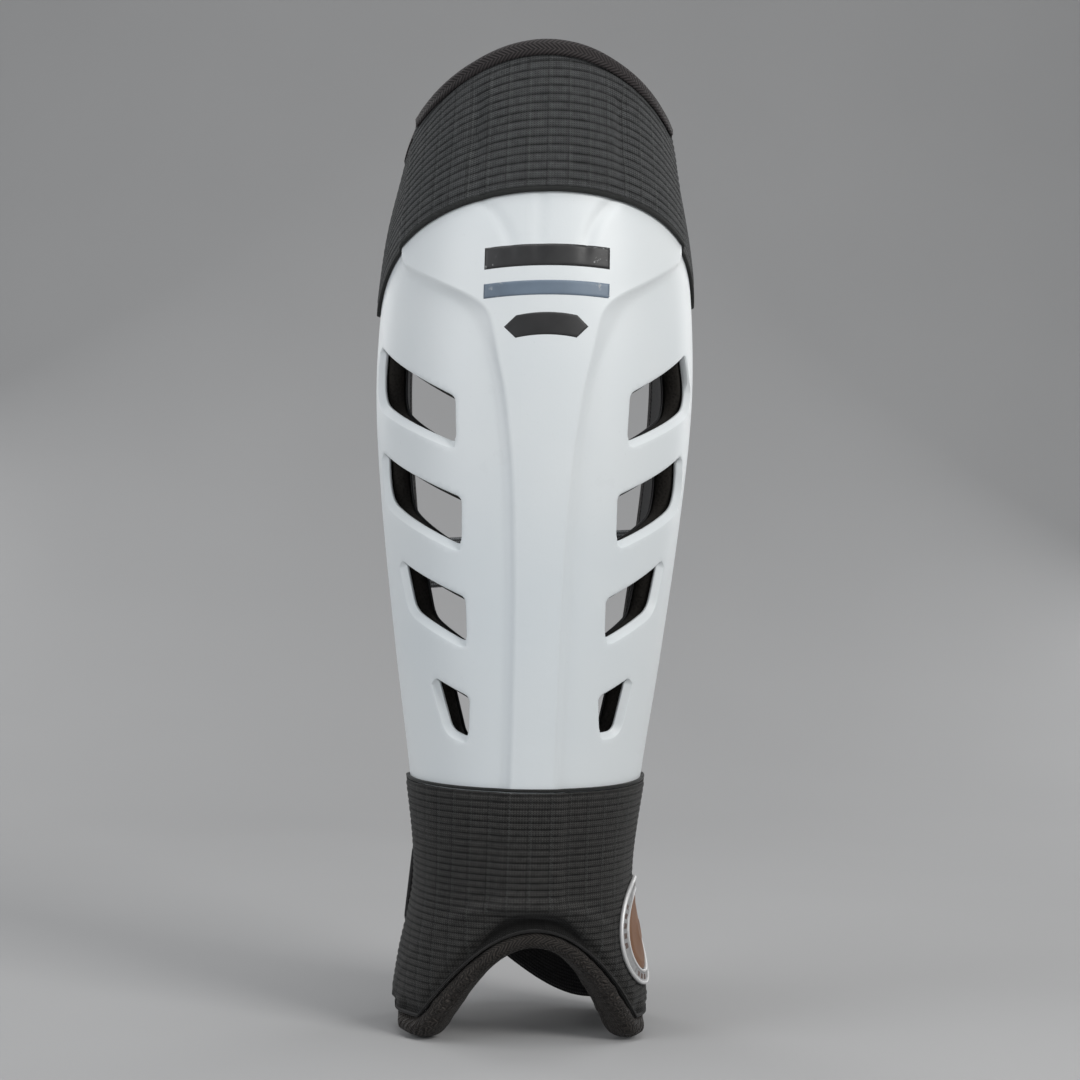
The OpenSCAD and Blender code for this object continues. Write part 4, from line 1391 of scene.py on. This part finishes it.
# ------------------------------------------------------------------ badge
BADGE_S, BADGE_Z, BADGE_R, BADGE_SEAT = 52.5, 36.0, 18.25, 1.5
BADGE_IN = BADGE_R * 0.72


def badge_point(r, a, off):
    return skin(BADGE_S + r * np.cos(a), BADGE_Z + r * np.sin(a), off)


def lathe_on_badge(name, profile, node, slot, mat, n, teeth=None):
    """Closed ring or disc on the ankle: profile is a loop of (radius, height above the cover)."""
    a = np.linspace(0, 2 * np.pi, n, endpoint=False)
    rings = np.array([badge_point(r, a, BADGE_SEAT + (h + (teeth(r, a) if teeth else 0 * a)))
                      for r, h in profile])
    st = np.stack([np.stack([r * np.cos(a), r * np.sin(a), r + 0 * a], -1) for r, _ in profile])
    k = len(profile)
    if profile[0] == profile[-1]:
        k -= 1
        f = grid_faces(k, n, wrap_i=True, wrap_j=True)
        v, st = rings[:-1].reshape(-1, 3), st[:-1].reshape(-1, 3)
    else:
        f = grid_faces(k, n, wrap_j=True)
        middle = [badge_point(0, 0.0, BADGE_SEAT + profile[j][1]) for j in (0, -1)]
        v = np.vstack([rings.reshape(-1, 3), *middle])
        st = np.vstack([st.reshape(-1, 3), [[0, 0, 0], [0, 0, 0]]])
        f += [[(j + 1) % n, j, k * n] for j in range(n)]
        f += [[(k - 1) * n + j, (k - 1) * n + (j + 1) % n, k * n + 1] for j in range(n)]
    return paint(new_object(name, v, f, st, stands_for=(node,), slot=slot), mat)


def make_badge():
    ri, ro = BADGE_IN, BADGE_R

    def ticks(r, a):
        # plain raised blocks round the band, with smooth gaps
        band = (r > ri + 1.4) & (r < ro - 1.2)
        return 0.22 * smooth((np.cos(a * 24) + 0.35) / 0.35) * (1.0 if band else 0.0)

    ring = [(ri + 0.15, 0.25), (ri + 0.15, 1.3), (ri + 0.35, 1.55), (ri + 0.8, 1.6), (ri + 1.1, 1.4),
            (ri + 1.35, 1.1), (ri + 1.7, 1.05), (ro - 1.6, 1.05), (ro - 1.3, 1.1), (ro - 1.05, 1.45),
            (ro - 0.7, 1.7), (ro - 0.3, 1.6), (ro, 1.2), (ro, 0.4), (ro - 0.4, 0.25), (ri + 0.15, 0.25)]
    lathe_on_badge("badge_ring_silver", ring, "badge_ring", "badge_silver", M_SILVER, 192, ticks)
    disc = [(0.02, 0.95), (2.2, 0.96), (2.6, 1.12), (3.4, 1.14), (3.9, 0.95), (6.0, 0.86), (9.5, 0.80),
            (10.2, 0.92), (11.0, 0.94), (11.6, 0.80), (ri - 0.5, 0.78), (ri - 0.15, 0.7),
            (ri - 0.15, 0.28), (0.02, 0.28)]
    lathe_on_badge("badge_disc_copper", disc, "badge_disc", "badge_copper", M_COPPER, 128)


# ------------------------------------------------------------------ straps
STRAP_T, CALF_IN, ANKLE_IN = 1.6, -1.5, 0.5
SEW_BACK, TAB_BACK, CORNER_R, BOW = 6.8, 2.0, 5.0, 8.0
CALF_Z, CALF_W, CALF_DROP = 167.0, 18.0, 7.0
ANKLE_LO, ANKLE_HI, ANKLE_TAB_LO, ANKLE_TAB_HI = 4.0, 55.0, 35.0, 61.0
STRAP_ROWS = 22


def back_run(t, z, off, base, start, stop):
    """One point of a strap's run, from the right wing across the back to the left one."""
    n_side, n_arc = 0.12, 0.20
    e = edge_s(z)
    p = skin(e, z, off) / MM
    r = CORNER_R + off - base
    xc, yc = p[0] - r, p[1] + 0.6
    if t < n_side:
        return skin(mix(e - start, e, t / n_side), z, off)
    if t < n_arc:
        k = math.radians(90 * (t - n_side) / (n_arc - n_side))
        return np.array([xc + r * math.cos(k), yc + r * math.sin(k), z]) * MM
    if t <= 1 - n_arc:
        b = 1 - 2 * (t - n_arc) / (1 - 2 * n_arc)
        return np.array([xc * b, yc + r + BOW * (1 - b * b) ** 2, z]) * MM
    if t <= 1 - n_side:
        k = math.radians(90 * (1 - n_side - t) / (n_arc - n_side))
        return np.array([-xc - r * math.cos(k), yc + r * math.sin(k), z]) * MM
    q = skin(mix(e, e - stop, (t - 1 + n_side) / n_side), z, off)
    return q * np.array([-1, 1, 1])


def across_back(t):
    return min(1, max(0, (t - 0.16) / 0.68))


def calf_lo(t):
    return CALF_Z - CALF_DROP * across_back(t) - CALF_W / 2


def calf_hi(t):
    return calf_lo(t) + CALF_W


def ankle_lo(t):
    return mix(ANKLE_LO, ANKLE_TAB_LO, float(smooth((across_back(t) - 0.18) / 0.78)))


def ankle_hi(t):
    return mix(ANKLE_HI, ANKLE_TAB_HI, float(smooth((across_back(t) - 0.1) / 0.8)))


def strap_grid(lo, hi, base, t0, t1, start, stop):
    """Outer and inner grids of a webbing band and their st: rows along it, columns across it."""
    v = np.linspace(0, 1, STRAP_ROWS)
    thin = 0.55 + 0.45 * np.sqrt(np.clip(np.minimum(v, 1 - v) / 0.06, 0, 1))
    outer, inner, mids, wide = [], [], [], []
    for t in np.linspace(t0, t1, 150):
        faces = []
        for off in (base + STRAP_T, base):
            a, b = [back_run(t, z(t), off, base, SEW_BACK + start, TAB_BACK + stop)
                    for z in (lo, hi)]
            faces.append(a[None] + (b - a)[None] * v[:, None])
        mid, half = (faces[0] + faces[1]) / 2, (faces[0] - faces[1]) / 2
        outer.append(mid + half * thin[:, None])
        inner.append(mid - half * thin[:, None])
        mids.append(mid.mean(0))
        wide.append(v * np.linalg.norm(faces[0][-1] - faces[0][0]) / MM)
    wide = np.array(wide)
    st = np.stack([run_length(mids)[:, None] / MM + 0 * wide, wide, 0 * wide], -1)
    return [np.array(x).transpose(1, 0, 2) for x in (outer, inner, st)]


def between(side, back, z0, z1, off, w):
    """Points on straight lines from height z0 to z1 on a wing, at a distance from its edge."""
    a = skin(side * (edge_s(z0) - back), z0, off)
    b = skin(side * (edge_s(z1) - back), z1, off)
    return a * (1 - w[..., None]) + b * w[..., None]


def wing_patch(name, side, back0, back1, z0, z1, out, low, body, mat, slot, node, round_end=0.0):
    """Flat patch on the outside of a wing, between two distances from the rear edge."""
    v = np.linspace(0, 1, 20)[:, None]
    t = np.linspace(0, 1, 24)[None, :]
    narrow = 1 + 0 * t
    if round_end:
        # rounded front end: columns get narrower towards it
        x = np.clip((t * (back1 - back0) - (back1 - back0 - round_end)) / round_end, 0, 1)
        narrow = 1 - (1 - np.sqrt(np.clip(1 - x * x * 0.96, 0, 1))) * round_end / ((z1 - z0) / 2)
    back = mix(back0, back1, t)
    vv = 0.5 + (v - 0.5) * narrow
    rim = np.minimum(np.minimum(v, 1 - v) * (z1 - z0),
                     np.minimum(t, 1 - t) * abs(back1 - back0) + 0 * v)
    thin = (0.5 + 0.5 * np.sqrt(np.clip(rim / 0.7, 0, 1)))[..., None]
    o, i = [between(side, back, z0, z1, off, vv) for off in (out, low)]
    mid, half = (o + i) / 2, (o - i) / 2
    st = np.stack([back + 0 * v, vv * (z1 - z0), 0 * vv], -1)
    # with this extra axis only a thin strip along the lower edge gets faces
    outer, inner = (mid + half * thin)[None], (mid - half * thin)[None]
    return paint(slab(outer, inner, st, name=name, body=body, stands_for=(node,), slot=slot), mat)


def box_stitch(name, side, back0, back1, z0, z1, off, body):
    """Box and cross of stitches on a sewn patch."""
    a, b, c, d = (back0, z0), (back1, z0), (back1, z1), (back0, z1)
    t = np.linspace(0, 1, 40)
    made = []
    for k, ((b0, c0), (b1, c1)) in enumerate([(a, b), (b, c), (c, d), (d, a), (a, c), (d, b)]):
        back = mix(b0, b1, t)
        p = between(side, back, z0, z1, off, (mix(c0, c1, t) - z0) / (z1 - z0))
        foot, head = [skin(side * (edge_s(z0) - back), z0, off + up) for up in (0, 1)]
        made.append(stitches(f"{name}_{k}", p, head - foot, 2.0, 0.8, 0.26, 0.02))
    return join(made, name, body)


def join(objects, name, body):
    """One piece from several meshes of one material."""
    verts, faces = [], []
    mat = objects[0].data.materials[0]
    for o in objects:
        faces += [[i + len(verts) for i in p.vertices] for p in o.data.polygons]
        verts += [tuple(v.co) for v in o.data.vertices]
        bpy.data.objects.remove(o, do_unlink=True)
    return paint(new_object(name, np.array(verts), faces, body=body), mat)


def make_strap(kind):
    calf = kind == "calf"
    lo, hi = (calf_lo, calf_hi) if calf else (ankle_lo, ankle_hi)
    base = CALF_IN if calf else ANKLE_IN
    mat, slot = (M_WEB_GREY, "calf_elastic") if calf else (M_WEB, "strap_elastic")

    def at(back, side, t):
        """Middle of the strap's outer face at a distance from the wing's edge."""
        return tuple(np.mean([skin(side * (edge_s(z) - back), z, base + STRAP_T)
                              for z in (lo(t), hi(t))], 0))

    # sewn half: from on top of the wing to the middle of the back
    o, i, st = strap_grid(lo, hi, base, 0.0, 0.5, 12.5 if calf else 8.0, 0)
    sewn = slab(o, i, st, name=kind + "_band_sewn", body=None, stands_for=(kind + "_anchor",),
                slot=slot)
    paint(sewn, mat)
    at(SEW_BACK + 3.2, 1, 0.0)
    at(SEW_BACK - 3.2, 1, 0.0)
    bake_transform(sewn)
    # free half: from the middle of the back to the front end of the tab
    o, i, st = strap_grid(lo, hi, base, 0.5, 1.0, 0, 13.6 if calf else 14.6)
    free = slab(o, i, st, name=kind + "_band_free", body=None,
                stands_for=(kind + "_strap", kind + "_tab"), slot=slot)
    paint(free, mat)
    at(TAB_BACK - 3.0, -1, 1.0)
    at(TAB_BACK + 3.2, -1, 1.0)
    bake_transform(free)


# ------------------------------------------------------------------ make everything
make_shell()
BAR, MARK, PRINT = 20.5, 13.5, 0.12          # half widths and thickness of the prints, in mm
decal("stripe_black_print", 260.6, 267.9, BAR, PRINT, M_BLACK_PRINT, "black_print", "stripe_black")
decal("stripe_grey_print", 250.8, 255.7, BAR, PRINT, M_GREY_PRINT, "grey_print", "stripe_grey")
decal("front_hexagon_print", 237.5, 245.0, MARK, PRINT, M_BLACK_PRINT, "black_print", "front_mark",
      hexagon=True)
top_knit, top_area = make_top_cover()
ankle_knit, ankle_area = make_ankle_cover()
hem_band("top_cover_hem_fold", top_hem, 2.2, lambda s, z: relief(s, z) * 0.95 - sunk(s, z),
         "top_cover_hem")
hem_band("ankle_cover_hem_fold", ankle_hem, 1.1,
         lambda s, z: 1.1 * (1 - smooth((np.abs(s) - 7) / 5)) - sunk(s, z), "ankle_cover_hem")
make_foam()
make_lining()
make_ankle_foam()
for side in (-1, 1):
    make_ankle_pad(side)
for side in (-1, 1):
    make_wing(side)
make_patches()
make_top_binding()
for side in (-1, 1):
    make_side_binding(side)
make_roll()
make_piping()
make_badge()
for kind in ("calf", "ankle"):
    make_strap(kind)

# loop patches under the tabs, pulls at their ends, and stitching
CALF_TAB = (CALF_Z - CALF_DROP - CALF_W / 2, CALF_Z - CALF_DROP + CALF_W / 2)
ANKLE_TAB = (ANKLE_TAB_LO, ANKLE_TAB_HI)
CALF_FACE, ANKLE_FACE = CALF_IN + STRAP_T, ANKLE_IN + STRAP_T
wing_patch("calf_loop_patch", -1, 7.3, 20.5, CALF_TAB[0] - 4, CALF_TAB[1] + 4, CALF_IN - 0.3, -2.9,
           "guard", M_LOOP, "loop_patch", "calf_loop")
wing_patch("ankle_loop_patch", -1, 7.3, 20.5, ANKLE_TAB[0] - 3, ANKLE_TAB[1] + 3, ANKLE_IN - 0.4,
           -1.0, "guard", M_LOOP, "loop_patch", "ankle_loop")
wing_patch("calf_pull_tape", -1, 15.2, 20.6, CALF_TAB[0] + 6, CALF_TAB[1] - 6, CALF_FACE + 0.35,
           CALF_IN + 0.3, "calf_tab", M_PULL, "grey_tape", "calf_pull", round_end=2.0)
wing_patch("ankle_pull_tape", -1, 16.2, 21.6, ANKLE_TAB[0] + 7, ANKLE_TAB[1] - 7, ANKLE_FACE + 0.35,
           ANKLE_IN + 0.3, "ankle_tab", M_PULL, "grey_tape", "ankle_pull", round_end=2.0)
box_stitch("calf_anchor_stitching", 1, SEW_BACK + 4.4, 18.0, CALF_Z - CALF_W / 2 + 1.8,
           CALF_Z + CALF_W / 2 - 1.8, CALF_FACE, "guard")
box_stitch("ankle_anchor_stitching", 1, SEW_BACK + 3.6, 13.2, 7.5, 51.5, ANKLE_FACE, "guard")
box_stitch("calf_tab_stitching", -1, TAB_BACK + 4.4, 14.4, CALF_TAB[0] + 1.8, CALF_TAB[1] - 1.8,
           CALF_FACE, "calf_tab")
box_stitch("ankle_tab_stitching", -1, TAB_BACK + 4.4, 15.2, ANKLE_TAB[0] + 1.8, ANKLE_TAB[1] - 1.8,
           ANKLE_FACE, "ankle_tab")

# ------------------------------------------------------------------ stage, light, camera
AZ, ROLL = math.radians(3.661), math.radians(1.631)
CAM_AT = Vector((-51.72, -806.6, 168.6)) * MM
FOCAL, FRAME_SIDE, CENTRE = 2300.0, 1080.0, (531.2, 545.0)
ahead = Vector((math.sin(AZ), math.cos(AZ), 0))
level = Vector((math.cos(AZ), -math.sin(AZ), 0))
right = level * math.cos(ROLL) + Vector((0, 0, 1)) * math.sin(ROLL)
up = Vector((0, 0, 1)) * math.cos(ROLL) - level * math.sin(ROLL)
cam_data = bpy.data.cameras.new("camera")
cam_data.sensor_width = 36
cam_data.lens = FOCAL / FRAME_SIDE * 36
cam_data.shift_x = (FRAME_SIDE / 2 - CENTRE[0]) / FRAME_SIDE
cam_data.shift_y = (CENTRE[1] - FRAME_SIDE / 2) / FRAME_SIDE
cam_data.clip_start, cam_data.clip_end = 0.02, 20
cam = bpy.data.objects.new("camera", cam_data)
cam.matrix_world = Matrix.Translation(CAM_AT) @ Matrix((right, up, -ahead)).transposed().to_4x4()
bpy.context.collection.objects.link(cam)
bpy.context.scene.camera = cam


def area_light(name, at, look, size, watts, color=(1, 1, 1)):
    data = bpy.data.lights.new(name, "AREA")
    data.shape = "RECTANGLE"
    data.size, data.size_y = size
    data.energy = watts
    data.color = color
    ob = bpy.data.objects.new(name, data)
    ob.location = at
    ob.rotation_euler = (Vector(look) - Vector(at)).to_track_quat("-Z", "Y").to_euler()
    bpy.context.collection.objects.link(ob)


area_light("key", (0.75, -0.75, 0.75), (0, 0, 0.17), (0.45, 0.6), 9.0, (1.0, 0.99, 0.97))
area_light("fill", (-1.05, -0.65, 0.45), (0, 0, 0.17), (0.6, 1.0), 6.6, (0.96, 0.98, 1.0))
area_light("top", (0.0, -0.15, 1.25), (0, 0, 0.2), (0.7, 0.7), 5.6)
area_light("rim_left", (-0.55, 0.75, 0.6), (0, 0, 0.18), (0.4, 0.8), 2.2)
area_light("rim_right", (0.65, 0.70, 0.5), (0, 0, 0.18), (0.4, 0.8), 2.2)


def make_stage():
    """Pale floor that curves up into a pale backdrop."""
    prof = [(-2.2, 0.0), (0.55, 0.0)]
    for k in range(1, 13):
        a = math.radians(90 * k / 12)
        prof.append((0.55 + 0.6 * math.sin(a), 0.6 - 0.6 * math.cos(a)))
    prof.append((1.15, 2.6))
    v = [(x, y, z) for x in (-3.0, 3.0) for y, z in prof]
    n = len(prof)
    f = [[k, k + 1, n + k + 1, n + k] for k in range(n - 1)]
    me = bpy.data.meshes.new("floor")
    me.from_pydata(v, [], f)
    smooth_shade(me)
    ob = bpy.data.objects.new("floor", me)
    bpy.context.collection.objects.link(ob)
    m = Mat("floor_paper", (0.38, 0.38, 0.382), 0.9, Specular_IOR_Level=0.2)
    soft = m.noise(2.0, 3)
    m.color(m.ramp(soft, [(0.2, (0.355, 0.355, 0.358)), (0.8, (0.40, 0.40, 0.402))]))
    paint(ob, m.m)


make_stage()
world = bpy.data.worlds.new("studio")
world.use_nodes = True
world.node_tree.nodes["Background"].inputs["Color"].default_value = (0.80, 0.83, 0.87, 1)
world.node_tree.nodes["Background"].inputs["Strength"].default_value = 0.26
bpy.context.scene.world = world
bpy.context.scene.view_settings.view_transform = "Standard"
